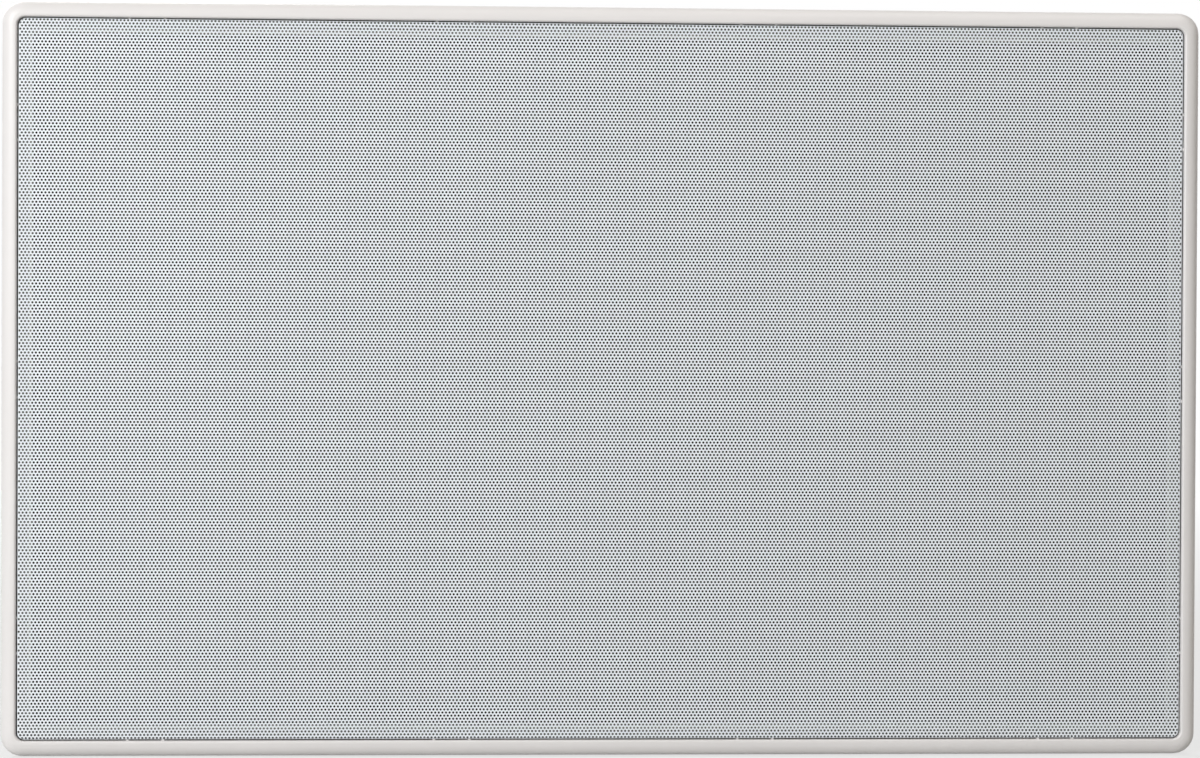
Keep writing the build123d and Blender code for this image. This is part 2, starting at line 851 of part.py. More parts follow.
def inductor(x, z, radius, height, tail_angles):
    # A flanged bobbin standing on the board, and the copper wound on it with its two ends.
    core = radius - winding_depth
    wound = radius - winding_inset
    back = board_back + height
    inner_front = board_back + bobbin_flange
    inner_back = back - bobbin_flange
    bobbin = turned_points(
        (bobbin_bore, board_back),
        (radius, board_back),
        (radius, inner_front),
        (core, inner_front),
        (core, inner_back),
        (radius, inner_back),
        (radius, back),
        (bobbin_bore, back),
    )
    winding = ring(core, wound, inner_front, inner_back)
    drop = bobbin_flange + tail_lift
    tail = winding_tail((core + wound) / 2, radius + tail_gap + lead_radius, drop)
    for angle in tail_angles:
        winding += Rot(0, -angle, 0) * Pos(0, board_back + drop, 0) * tail
    return Pos(x, 0, z) * bobbin, Pos(x, 0, z) * winding


def capacitor(x, z, radius, length, upright):
    # A wrapped film capacitor lying on the board along Z or X, on a bed of glue.
    drop = capacitor_lift + radius
    body = extrude(Circle(radius), amount=length / 2, both=True)
    body = chamfer(body.edges().filter_by(GeomType.CIRCLE), capacitor_edge)
    body += slab(Rectangle(radius, length - 2 * glue_bed_end), -drop, 0)
    body += wire_leads(length / 2, drop)
    turn = Rot(0, 0 if upright else 90, 0)
    return Pos(x, board_back + drop, z) * turn * body


def make_resistor():
    block = Pos(resistor_x, resistor_z) * Rectangle(resistor_width, resistor_length)
    body = slab(block, board_back, board_back + resistor_width)
    body = chamfer(body.edges().group_by(Axis.Y)[-1], resistor_edge)
    drop = resistor_width / 2
    return body + Pos(resistor_x, board_back + drop, resistor_z) * wire_leads(resistor_length / 2, drop)


def make_terminal(x):
    # One terminal: a block with a well for its button and a hole for the bared wire.
    block = Pos(x, terminal_z) * Rectangle(terminal_width, terminal_height)
    body = slab(block, board_back, terminal_back)
    body = chamfer(body.edges().group_by(Axis.Y)[-1], terminal_edge)
    well = Pos(x, button_z) * Rectangle(button_room, button_room)
    body -= slab(well, terminal_back - button_well, terminal_back)
    return body - disc(wire_hole_radius, terminal_back - wire_hole_depth, terminal_back, x, wire_hole_z)


def make_button(x):
    front = terminal_back - button_well + button_rest_gap
    key = Pos(x, button_z) * Rectangle(button_size, button_size)
    body = slab(key, front, terminal_back + button_proud)
    return chamfer(body.edges().group_by(Axis.Y)[-1], button_edge)


def make_clamp_screw():
    # Head on the ledge, plain shank back through the tower's cap.
    length = tower_back + tower_cap - ledge_front
    return screw(0, 0, ledge_front, clamp_screw_radius, length, clamp_head_radius, clamp_head_height)


def make_clamp_arm():
    # A hub on the screw, an arm towards the middle of the frame and a foot that reaches forward.
    back = tower_back - arm_back_gap
    body = disc(arm_hub_radius, back - arm_hub_length, back)
    bar = Pos(arm_reach / 2, 0) * Rectangle(arm_reach, 2 * arm_half_width)
    body += slab(bar, back - arm_thickness, back)
    foot = Pos(arm_reach - foot_length / 2, 0) * Rectangle(foot_length, 2 * arm_half_width)
    foot_front = back - arm_thickness - foot_drop
    body += slab(foot, foot_front, back)
    web = Pos(arm_reach / 2, 0) * Rectangle(arm_reach - foot_length, arm_half_width / 2)
    body += slab(web, back - arm_hub_length, back)
    tip_edges = body.edges().filter_by(Axis.Y).group_by(Axis.X)[-1]
    body = fillet(tip_edges, foot_round)
    return body - disc(clamp_screw_radius + arm_bore_fit, back - arm_hub_length, back)


def make_pieces():
    pieces = {
        "frame": make_frame(),
        "grille": make_grille(),
        "grille_scrim": make_scrim(),
        "baffle": make_baffle(),
    }
    standard = (screw_radius, screw_length, screw_head_radius, screw_head_height)
    small = (tweeter_screw_radius, tweeter_screw_length, tweeter_screw_head, tweeter_screw_head_height)
    rim_seat = baffle_setback - basket_sheet
    woofer_screws = []
    for name, side in woofer_sides.items():
        for piece, shape in woofer_pieces(side).items():
            pieces[f"woofer_{piece}_{name}"] = Pos(side * woofer_x, baffle_setback, 0) * shape
        for x, z in circle_spots(woofer_screw_circle, woofer_screw_count, side * woofer_x):
            woofer_screws.append(screw(x, z, rim_seat, *standard))
    for piece, shape in tweeter_pieces().items():
        pieces[piece] = Pos(0, baffle_setback, 0) * shape
    tweeter_seat = baffle_setback - tweeter_plate + tweeter_screw_head_height
    tweeter_spots = circle_spots(tweeter_screw_circle, tweeter_screw_count)
    tweeter_screws = [screw(x, z, tweeter_seat, *small) for x, z in tweeter_spots]
    baffle_screws = [screw(x, z, baffle_setback, *standard) for x, z in baffle_screw_spots]
    turn_round = Rot(180, 0, 0)
    board_screws = [
        Pos(x, board_back, z) * turn_round * screw(0, 0, 0, *standard) for x, z in board_screw_spots
    ]
    pieces["baffle_screws"] = Compound(children=baffle_screws)
    pieces["woofer_screws"] = Compound(children=woofer_screws)
    pieces["tweeter_screws"] = Compound(children=tweeter_screws)
    pieces["crossover_screws"] = Compound(children=board_screws)
    pieces["crossover_board"] = make_board()
    coil_sizes = {
        "woofer": (
            coil_large_x,
            coil_large_z,
            coil_large_radius,
            coil_large_height,
            coil_large_tail_angles,
        ),
        "tweeter": (
            coil_small_x,
            coil_small_z,
            coil_small_radius,
            coil_small_height,
            coil_small_tail_angles,
        ),
    }
    for name, sizes in coil_sizes.items():
        bobbin, winding = inductor(*sizes)
        pieces[f"{name}_inductor_bobbin"] = bobbin
        pieces[f"{name}_inductor_winding"] = winding
    pieces["woofer_capacitor"] = capacitor(
        capacitor_large_x, capacitor_large_z, capacitor_large_radius, capacitor_large_length, True
    )
    pieces["tweeter_capacitor"] = capacitor(
        capacitor_small_x, capacitor_small_z, capacitor_small_radius, capacitor_small_length, False
    )
    pieces["resistor"] = make_resistor()
    for colour, x in terminal_x.items():
        pieces[f"terminal_{colour}"] = make_terminal(x)
        pieces[f"terminal_button_{colour}"] = make_button(x)
    for name, (x_side, z_side) in clamp_spots.items():
        pieces[f"clamp_screw_{name}"] = placed_clamp(make_clamp_screw(), x_side, z_side)
        pieces[f"clamp_arm_{name}"] = placed_clamp(make_clamp_arm(), x_side, z_side)
    return pieces


os.makedirs("parts", exist_ok=True)
for node, shape in make_pieces().items():
    export_step(shape, f"parts/{node}.step")
print("pieces written:", len(os.listdir("parts")))
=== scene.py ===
import json
from math import cos, pi, radians, sin, sqrt

import bmesh
import bpy
import numpy as np
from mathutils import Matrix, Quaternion, Vector

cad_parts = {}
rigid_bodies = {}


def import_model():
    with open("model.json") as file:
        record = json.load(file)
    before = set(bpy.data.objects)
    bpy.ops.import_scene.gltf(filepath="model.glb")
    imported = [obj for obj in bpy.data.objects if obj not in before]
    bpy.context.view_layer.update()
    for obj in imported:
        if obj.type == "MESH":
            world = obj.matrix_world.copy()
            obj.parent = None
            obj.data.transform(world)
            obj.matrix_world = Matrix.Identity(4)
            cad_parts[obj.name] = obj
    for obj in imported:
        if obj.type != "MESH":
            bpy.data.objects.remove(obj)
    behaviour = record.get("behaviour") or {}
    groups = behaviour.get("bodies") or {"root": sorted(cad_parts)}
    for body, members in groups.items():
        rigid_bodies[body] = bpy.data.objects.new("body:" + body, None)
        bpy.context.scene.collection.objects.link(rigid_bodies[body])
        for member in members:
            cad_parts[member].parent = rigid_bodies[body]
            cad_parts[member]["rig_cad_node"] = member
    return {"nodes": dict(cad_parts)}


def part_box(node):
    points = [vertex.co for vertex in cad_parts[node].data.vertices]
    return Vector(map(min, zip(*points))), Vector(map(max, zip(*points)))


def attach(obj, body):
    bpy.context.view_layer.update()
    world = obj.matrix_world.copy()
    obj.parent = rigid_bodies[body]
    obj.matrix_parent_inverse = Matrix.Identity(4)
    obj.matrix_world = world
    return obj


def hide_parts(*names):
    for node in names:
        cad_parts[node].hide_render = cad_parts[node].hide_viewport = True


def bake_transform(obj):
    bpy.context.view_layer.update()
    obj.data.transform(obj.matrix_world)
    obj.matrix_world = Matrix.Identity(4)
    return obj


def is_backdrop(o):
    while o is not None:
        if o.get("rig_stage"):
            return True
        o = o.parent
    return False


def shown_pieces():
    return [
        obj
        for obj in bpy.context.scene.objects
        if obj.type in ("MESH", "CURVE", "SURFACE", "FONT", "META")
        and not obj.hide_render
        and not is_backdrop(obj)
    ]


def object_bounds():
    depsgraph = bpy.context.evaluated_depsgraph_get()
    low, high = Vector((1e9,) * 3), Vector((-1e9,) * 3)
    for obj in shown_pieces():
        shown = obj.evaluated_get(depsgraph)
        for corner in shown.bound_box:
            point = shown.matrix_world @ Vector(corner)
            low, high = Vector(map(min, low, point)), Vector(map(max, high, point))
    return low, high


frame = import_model()
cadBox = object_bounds()
mm = 0.001
hair = 0.001 * mm  # distances below this count as none
print("frame loaded:", len(frame["nodes"]), "nodes")


# Shader numbers: arithmetic on a Value adds Math nodes to its own tree
class Value:
    def __init__(self, nodes, socket):
        self.nodes, self.socket = nodes, socket

    def maths(self, operation, first, second=0.0):
        return self.nodes.node("ShaderNodeMath", {"operation": operation}, {0: first, 1: second})

    def __add__(self, other):
        return self.maths("ADD", self, other)

    def __radd__(self, other):
        return self.maths("ADD", other, self)

    def __sub__(self, other):
        return self.maths("SUBTRACT", self, other)

    def __rsub__(self, other):
        return self.maths("SUBTRACT", other, self)

    def __mul__(self, other):
        return self.maths("MULTIPLY", self, other)

    def __rmul__(self, other):
        return self.maths("MULTIPLY", other, self)

    def __truediv__(self, other):
        return self.maths("DIVIDE", self, other)

    def __gt__(self, other):
        return self.maths("GREATER_THAN", self, other)

    def __lt__(self, other):
        return self.maths("LESS_THAN", self, other)

    def sine(self):
        return self.maths("SINE", self)

    def size(self):
        return self.maths("ABSOLUTE", self)

    def root(self):
        return self.maths("SQRT", self)

    def most(self, other):
        return self.maths("MAXIMUM", self, other)

    # distance from the nearest whole multiple of a step
    def offBeat(self, step):
        return self.maths("PINGPONG", self, step / 2)

    # a middle that shifts by half a spread either way as this pattern goes from 0 to 1
    def around(self, middle, spread):
        return middle + spread * (self - 0.5)


# A tree of nodes: node() adds any kind, and fill() sets or links one socket
class Nodes:
    def __init__(self, tree):
        self.tree = tree

    def fill(self, socket, value):
        if isinstance(value, Value):
            self.tree.links.new(value.socket, socket)
        else:
            socket.default_value = value

    def node(self, kind, settings=None, sockets=None, out=0):
        made = self.tree.nodes.new(kind)
        for key, value in (settings or {}).items():
            setattr(made, key, value)
        for key, value in (sockets or {}).items():
            self.fill(made.inputs[key], value)
        return Value(self, made.outputs[out])

    # the rays that show the background: the camera's, reflected ones and those through glass
    def seenBy(self):
        rays = self.node("ShaderNodeLightPath").socket.node.outputs
        return [Value(self, rays[f"Is {kind} Ray"]) for kind in ("Camera", "Glossy", "Transmission")]


def tint(colour, factor=1.0):
    return (*[min(1.0, c * factor) for c in colour], 1.0)


# One material, with the few groups of nodes that come back often
class Finish(Nodes):
    def __init__(self, name):
        self.material = bpy.data.materials.new(name)
        self.material.use_nodes = True
        super().__init__(self.material.node_tree)
        self.shader = self.tree.nodes["Principled BSDF"]
        self.place = self.node("ShaderNodeTexCoord", out="Object")

    # x, y and z of a point measured from a centre
    def axes(self, centre=(0.0, 0.0, 0.0)):
        shift = {"Location": [-c for c in centre], "Vector": self.place}
        moved = self.node("ShaderNodeMapping", None, shift)
        parts = self.node("ShaderNodeSeparateXYZ", None, {0: moved}).socket.node
        return [Value(self, parts.outputs[i]) for i in range(3)]

    # noise whose lumps are about one grain across
    def noise(self, grain, detail=2.0):
        sockets = {"Vector": self.place, "Scale": 1.0 / grain, "Detail": detail}
        return self.node("ShaderNodeTexNoise", None, sockets)

    # distance from the middle of the nearest cell, cells about one grain across
    def cells(self, grain):
        return self.node("ShaderNodeTexVoronoi", None, {"Vector": self.place, "Scale": 1.0 / grain})

    def colour(self, share, first, second):
        sockets = {0: share, 6: first, 7: second}
        return self.node("ShaderNodeMix", {"data_type": "RGBA"}, sockets, out=2)

    # one colour in two shades: its factor where the share is low, and where it is high
    def shades(self, share, colour, low, high):
        return self.colour(share, tint(colour, low), tint(colour, high))

    # a height over an earlier bump, if one is given
    def bump(self, height, distance, under=None):
        sockets = {"Height": height, "Distance": distance, "Strength": 1.0}
        if under:
            sockets["Normal"] = under
        return self.node("ShaderNodeBump", None, sockets)

    def shade(self, sockets):
        for key, value in sockets.items():
            self.fill(self.shader.inputs[key], value)
        return self.material


# Moulded plastic: broad faint mottling, a spark-eroded grain and uneven gloss
def mouldedFinish(name, look, marks=None):
    f = Finish(name)
    mottle = f.noise(look["mottle"])
    grain = f.noise(look["grain"], detail=3.0)
    colour = f.shades(mottle, look["colour"], low=0.96, high=1.03)
    normal = f.bump(grain, look["depth"])
    if marks:
        colour, normal = marks(f, colour, normal)
    return f.shade({
        "Base Color": colour,
        "Roughness": grain.around(look["roughness"], spread=0.14),
        "Normal": normal,
        "Coat Weight": look.get("coat", 0.0),
        "Coat Roughness": 0.25,
    })


# Sprayed or powder paint: orange peel over a finer tooth
def paintedFinish(name, look):
    f = Finish(name)
    finer, toothShare = 6, 0.2
    peel = f.noise(look["peel"], detail=1.0)
    tooth = f.noise(look["peel"] / finer)
    return f.shade({
        "Base Color": f.shades(f.noise(look["mottle"]), look["colour"], low=0.975, high=1.02),
        "Roughness": peel.around(look["roughness"], spread=0.12),
        "Normal": f.bump(peel * (1 - toothShare) + tooth * toothShare, look["depth"]),
    })


# Plain weave: each thread is an arch, over one crossing and under the next
def wovenFinish(name, look, marks=None):
    f = Finish(name)
    wornShare = 0.3
    x, z = f.axes()[::2]
    warp = (x * (pi / look["thread"])).sine()
    weft = (z * (pi / look["thread"])).sine()
    over = warp * weft > 0.0
    height = over * warp.size() + (1.0 - over) * weft.size()
    worn = f.noise(look["mottle"], detail=3.0)
    # painted shade: each thread is lighter on its crest and darker where it dips under the next, mixed with a
    # worn mottle
    pattern = height * (1 - wornShare) + worn * wornShare
    colour = f.shades(pattern, look["colour"], low=0.55, high=1.25)
    if marks:
        colour = marks(f, colour)
    return f.shade({
        "Base Color": colour,
        "Roughness": worn.around(look["roughness"], spread=0.1),
        "Normal": f.bump(height, look["depth"]),
        "Sheen Weight": look["sheen"],
        "Sheen Roughness": 0.5,
    })


# Rubber with a faint dry bloom
def rubberFinish(name, look):
    f = Finish(name)
    bloom = f.noise(look["bloom"], detail=4.0)
    pores = f.noise(look["pores"])
    return f.shade({
        "Base Color": f.shades(bloom, look["colour"], low=0.75, high=1.5),
        "Roughness": look["roughness"] + look["dry"] * bloom,
        "Normal": f.bump(pores, look["depth"]),
    })


# Closed-cell foam: rounded cells, each painted lighter on its dome and darker towards the creases between them
# as painted shade
def foamFinish(name, look):
    f = Finish(name)
    cell = f.cells(look["cell"])
    return f.shade({
        "Base Color": f.shades(cell, look["colour"], low=1.5, high=0.4),
        "Roughness": look["roughness"] + look["matt"] * cell,
        "Normal": f.bump(1.0 - cell, look["depth"]),
    })


# Turned and plated steel: lathe rings about an axis along Y, and a cloudy plating
def turnedSteel(name, look, centre):
    f = Finish(name)
    bandShare = 0.4
    x, z = f.axes(centre)[::2]
    radius = (x * x + z * z).root()

    def lathed(width):
        return f.node("ShaderNodeTexNoise", {"noise_dimensions": "1D"}, {"W": radius / width, "Scale": 1.0})

    rings, bands = lathed(look["ring"]), lathed(look["band"])
    cloud = f.noise(look["cloud"], detail=3.0)
    pattern = (1 - bandShare) * cloud + bandShare * bands
    cloudy = cloud.around(look["roughness"], spread=0.16)
    return f.shade({
        "Base Color": f.shades(pattern, look["colour"], low=0.72, high=1.15),
        "Metallic": 1.0,
        "Roughness": rings.around(bands.around(cloudy, spread=0.16), spread=0.1),
        "Normal": f.bump(rings, look["depth"]),
    })


# Plated or blackened screw steel: cloudy plating with fine scuffs
def screwSteel(name, look):
    f = Finish(name)
    cloud = f.noise(look["cloud"], detail=4.0)
    scuff = f.noise(look["scuff"])
    return f.shade({
        "Base Color": f.shades(cloud, look["colour"], low=0.7, high=1.2),
        "Metallic": look["metallic"],
        "Roughness": scuff.around(look["roughness"], spread=0.2),
        "Normal": f.bump(scuff, look["depth"]),
    })


# Sintered ferrite or poured cement: coarse grains and pinholes
def grainyFinish(name, look):
    f = Finish(name)
    pitReach, pitShade, pitDrop = 0.16, 0.35, 0.6
    grain = f.noise(look["grain"], detail=4.0)
    # the pinholes are also painted darker in the colour below, a painted shade in them
    pits = f.cells(look["pit"]) < pitReach
    return f.shade({
        "Base Color": f.shades(grain - pitShade * pits, look["colour"], low=0.6, high=1.25),
        "Roughness": grain.around(look["roughness"], spread=0.2),
        "Normal": f.bump(grain - pitDrop * pits, look["depth"]),
    })


# Enamelled copper wire: warm metal under a clear varnish
def enamelFinish(name, look):
    f = Finish(name)
    cloud = f.noise(look["cloud"], detail=3.0)
    return f.shade({
        "Base Color": f.shades(cloud, look["colour"], low=0.75, high=1.15),
        "Metallic": 0.9,
        "Roughness": look["roughness"] + look["dull"] * cloud,
        "Coat Weight": 0.7,
        "Coat Roughness": 0.12,
    })


# Voice coil: bare aluminium former in front, copper turns behind a depth
def coilFinish(name, look, windingFront):
    f = Finish(name)
    y = f.axes()[1]
    wound = y > windingFront
    turns = (y * (pi / look["wire"])).sine().size()
    cloud = f.noise(look["cloud"], detail=3.0)
    return f.shade({
        "Base Color": f.colour(wound, tint(look["former"]), tint(look["copper"])),
        "Metallic": 0.9,
        "Roughness": look["roughness"] + look["dull"] * cloud,
        "Normal": f.bump(wound * turns, look["depth"]),
    })


# Paper-filled strip with tinned lugs standing behind a depth
def stripFinish(name, look, lugFront):
    f = Finish(name)
    lug = f.axes()[1] > lugFront
    fibre = f.noise(look["fibre"], detail=4.0)
    board = f.shades(fibre, look["board"], low=0.7, high=1.25)
    tin = f.shades(fibre, look["tin"], low=0.8, high=1.1)
    return f.shade({
        "Base Color": f.colour(lug, board, tin),
        "Metallic": lug,
        "Roughness": fibre.around(look["roughness"] - look["lugGloss"] * lug, spread=0.15),
        "Normal": f.bump(fibre, look["depth"]),
    })


# Circuit board: solder mask over copper runs that cross in two directions, bare fibre at the cut edge.
# Its back has a printed outline round each part and a tinned pad at each lead and screw.
def boardFinish(name, look, box, rounds, blocks, pads):
    f = Finish(name)
    x, y, z = f.axes()

    def away(spot):
        return ((x - spot[0]) * (x - spot[0]) + (z - spot[1]) * (z - spot[1])).root()

    gaps = [away(spot) - radius for spot, radius in rounds]
    gaps += [((x - spot[0]).size() - half[0]).most((z - spot[1]).size() - half[1]) for spot, half in blocks]
    low, high = box
    partSide = y > high.y - look["skin"]
    printed = partSide * sum((gap - look["printGap"]).size() < look["printLine"] / 2 for gap in gaps)
    tinned = partSide * sum(away(spot) < radius for spot, radius in pads)
    lanes = (x * (pi / look["lane"])).sine() > look["laneCrest"]
    links = (z * (pi / look["link"])).sine() > look["linkCrest"]
    patch = f.noise(look["patch"], detail=0.0) > 0.5
    track = patch * lanes + (1.0 - patch) * links
    middleZ, halfZ = (low.z + high.z) / 2, (high.z - low.z) / 2
    edge = look["bareEdge"]
    inner = (x.size() < high.x - edge) * ((z - middleZ).size() < halfZ - edge)
    weave = f.noise(look["weave"], detail=3.0)
    mask = f.shades(track, look["mask"], low=0.8, high=1.5)
    mask = f.colour(printed, mask, tint(look["print"]))
    mask = f.colour(tinned, mask, tint(look["tin"]))
    return f.shade({
        "Base Color": f.colour(inner, tint(look["fibre"]), mask),
        "Metallic": tinned * inner,
        "Roughness": weave.around(look["roughness"], spread=0.2) + look["cutRough"] * (1.0 - inner),
        "Normal": f.bump(track + look["weaveRise"] * weave + look["padRise"] * tinned, look["depth"]),
    })


# Film capacitor: a glossy wrap between two poured ends, tinned leads past them
def wrapFinish(name, look, box, along):
    f = Finish(name)
    centre = (box[0] + box[1]) / 2
    half = (box[1][along] - box[0][along]) / 2 - look["lead"]
    reach = f.axes(centre)[along].size()
    lead = reach > half
    end = reach > half - look["end"]
    streak = f.noise(look["streak"], detail=3.0)
    film = f.shades(streak, look["film"], low=0.9, high=1.08)
    body = f.colour(end, film, tint(look["resin"]))
    ends = look["roughness"] + look["endRough"] * end - look["leadGloss"] * lead
    return f.shade({
        "Base Color": f.colour(lead, body, tint(look["tin"])),
        "Metallic": lead,
        "Roughness": ends + look["streakRough"] * streak,
        "Normal": f.bump(streak, look["depth"]),
        "Coat Weight": look["coat"] * (1.0 - end),
        "Coat Roughness": 0.08,
    })


# Marks on the frame alone: painted shade in the groove round the grille, and shallow ejector pin rounds in rows
# along the back of the ledge, painted a little darker with a darker ring at each rim
grilleLow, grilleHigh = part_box("grille")
frameLook = {"reach": 0.4 * mm, "width": 0.9 * mm, "front": 0.6 * mm, "behind": 0.05 * mm,
             "dust": (0.05, 0.045, 0.04, 1.0), "share": 0.60, "ledge": 11.0 * mm, "skin": 0.1 * mm,
             "pin": 2.6 * mm, "pinRim": 0.2 * mm, "pinDepth": 0.08 * mm, "rimShare": 0.3, "pinShare": 0.06,
             "longRow": 96.3 * mm, "longStart": 18 * mm, "longStep": 54 * mm,
             "shortRow": 165 * mm, "shortStart": 20 * mm, "shortStep": 62 * mm}


def frameMarks(f, colour, normal):
    x, y, z = f.axes()
    x, z = x.size(), z.size()
    look = frameLook
    halfX, halfZ = grilleHigh.x + look["reach"], grilleHigh.z + look["reach"]
    covered = (x < halfX - look["width"]) * (z < halfZ - look["width"])
    deep = (y > grilleLow.y + look["front"]) * (y < grilleHigh.y + look["behind"])
    grooveShade = (x < halfX) * (z < halfZ) * deep * (1.0 - covered)
    # painted shade: the groove between the grille's edge and the bezel is darkened towards near black
    colour = f.colour(look["share"] * grooveShade, colour, look["dust"])
    alongX, acrossZ = (x - look["longStart"]).offBeat(look["longStep"]), z - look["longRow"]
    alongZ, acrossX = (z - look["shortStart"]).offBeat(look["shortStep"]), x - look["shortRow"]
    reaches = [(u * u + v * v).root() for u, v in ((alongX, acrossZ), (alongZ, acrossX))]
    ledge = (y - look["ledge"]).size() < look["skin"]
    pins = ledge * sum(reach < look["pin"] for reach in reaches)
    rims = ledge * sum((reach - look["pin"]).size() < look["pinRim"] for reach in reaches)
    # the pin rounds and a ring at each rim are painted darker with the same colour
    colour = f.colour(look["rimShare"] * rims + look["pinShare"] * pins, colour, look["dust"])
    return colour, f.bump(1.0 - pins, look["pinDepth"], normal)


# A paler band along the edge of the cloth behind the grille, paler still in a line on its inner side
paleEdgeLook = {"band": 3.7 * mm, "paleLine": 1.0 * mm, "lump": 6 * mm, "thinnest": 0.5, "bandShare": 0.2,
            "paleLineShare": 0.48, "colour": (0.50, 0.50, 0.48, 1.0)}


def scrimMarks(f, colour):
    x, z = f.axes()[::2]
    look = paleEdgeLook
    past = (x.size() - (grilleHigh.x - look["band"])).most(z.size() - (grilleHigh.z - look["band"]))
    paleLine = (past.size() < look["paleLine"] / 2) * (look["thinnest"] + f.noise(look["lump"]))
    band = past > 0.0
    return f.colour((look["bandShare"] * band).most(look["paleLineShare"] * paleLine), colour, look["colour"])


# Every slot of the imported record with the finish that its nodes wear
white = (0.738, 0.717, 0.711)
black = (0.022, 0.022, 0.024)
steel = {"colour": (0.60, 0.59, 0.56), "roughness": 0.30, "ring": 0.25 * mm, "band": 1.6 * mm,
         "cloud": 9 * mm, "depth": 0.01 * mm}
zinc = {"colour": (0.62, 0.61, 0.57), "metallic": 1.0, "roughness": 0.32, "cloud": 3 * mm, "scuff": 0.5 * mm,
        "depth": 0.01 * mm}
blackScrew = {"colour": (0.035, 0.035, 0.037), "metallic": 0.6, "roughness": 0.42, "cloud": 2 * mm,
              "scuff": 0.4 * mm, "depth": 0.01 * mm}
plastics = {
    "frame_plastic": {"colour": white, "roughness": 0.42, "mottle": 60 * mm, "grain": 0.35 * mm,
                      "depth": 0.008 * mm},
    "baffle_plastic": {"colour": black, "roughness": 0.52, "mottle": 40 * mm, "grain": 0.6 * mm,
                       "depth": 0.03 * mm},
    "cone_plastic": {"colour": (0.045, 0.046, 0.05), "roughness": 0.40, "mottle": 12 * mm, "grain": 0.9 * mm,
                     "depth": 0.02 * mm, "coat": 0.15},
    "dust_cap_plastic": {"colour": (0.03, 0.03, 0.033), "roughness": 0.30, "mottle": 10 * mm,
                         "grain": 0.8 * mm, "depth": 0.01 * mm, "coat": 0.3},
    "faceplate_plastic": {"colour": black, "roughness": 0.45, "mottle": 15 * mm, "grain": 0.4 * mm,
                          "depth": 0.015 * mm},
    "bobbin_plastic": {"colour": (0.028, 0.028, 0.028), "roughness": 0.48, "mottle": 8 * mm,
                       "grain": 0.5 * mm, "depth": 0.015 * mm},
    "terminal_plastic": {"colour": (0.024, 0.024, 0.026), "roughness": 0.34, "mottle": 8 * mm,
                         "grain": 0.4 * mm, "depth": 0.01 * mm, "coat": 0.2},
    "button_red": {"colour": (0.50, 0.018, 0.014), "roughness": 0.28, "mottle": 5 * mm, "grain": 0.4 * mm,
                   "depth": 0.008 * mm, "coat": 0.4},
    "button_black": {"colour": (0.02, 0.02, 0.022), "roughness": 0.28, "mottle": 5 * mm, "grain": 0.4 * mm,
                     "depth": 0.008 * mm, "coat": 0.4},
    "clamp_plastic": {"colour": (0.70, 0.68, 0.62), "roughness": 0.46, "mottle": 9 * mm, "grain": 0.5 * mm,
                      "depth": 0.02 * mm},
}
paints = {
    "grille_paint": {"colour": (0.797, 0.832, 0.866), "roughness": 0.46, "mottle": 50 * mm, "peel": 0.5 * mm,
                     "depth": 0.006 * mm},
    "basket_paint": {"colour": (0.016, 0.016, 0.018), "roughness": 0.31, "mottle": 25 * mm, "peel": 0.7 * mm,
                     "depth": 0.02 * mm},
}
weaves = {
    "scrim_cloth": {"colour": (0.012, 0.012, 0.013), "roughness": 0.9, "thread": 0.5 * mm, "mottle": 20 * mm,
                    "depth": 0.1 * mm, "sheen": 0.05},
    "spider_cloth": {"colour": (0.50, 0.30, 0.085), "roughness": 0.75, "thread": 0.7 * mm, "mottle": 8 * mm,
                     "depth": 0.12 * mm, "sheen": 0.1},
    "dome_cloth": {"colour": (0.03, 0.03, 0.033), "roughness": 0.55, "thread": 0.35 * mm, "mottle": 4 * mm,
                   "depth": 0.05 * mm, "sheen": 0.2},
}
finishes = {slot: mouldedFinish(slot, look, frameMarks if slot == "frame_plastic" else None)
            for slot, look in plastics.items()}
finishes.update({slot: paintedFinish(slot, look) for slot, look in paints.items()})
finishes.update({slot: wovenFinish(slot, look, scrimMarks if slot == "scrim_cloth" else None)
                 for slot, look in weaves.items()})
finishes["surround_rubber"] = rubberFinish(
    "surround_rubber", {"colour": (0.017, 0.017, 0.018), "roughness": 0.5, "dry": 0.25, "bloom": 9 * mm,
                        "pores": 0.5 * mm, "depth": 0.01 * mm})
finishes["gasket_foam"] = foamFinish(
    "gasket_foam", {"colour": (0.03, 0.03, 0.031), "roughness": 0.85, "matt": 0.1, "cell": 0.45 * mm,
                    "depth": 0.15 * mm})
finishes["ferrite"] = grainyFinish(
    "ferrite", {"colour": (0.060, 0.056, 0.055), "roughness": 0.68, "grain": 1.4 * mm, "pit": 2.2 * mm,
                "depth": 0.04 * mm})
finishes["resistor_cement"] = grainyFinish(
    "resistor_cement", {"colour": (0.72, 0.70, 0.64), "roughness": 0.82, "grain": 0.6 * mm, "pit": 1.1 * mm,
                        "depth": 0.05 * mm})
finishes["copper_wire"] = enamelFinish(
    "copper_wire", {"colour": (0.62, 0.24, 0.10), "roughness": 0.3, "dull": 0.15, "cloud": 3 * mm})
finishes["magnet_nickel"] = turnedSteel(
    "magnet_nickel", {**steel, "colour": (0.66, 0.64, 0.60)}, (0.0, 0.0, 0.0))
finishes["screw_zinc"] = screwSteel("screw_zinc", zinc)
finishes["screw_black"] = screwSteel("screw_black", blackScrew)

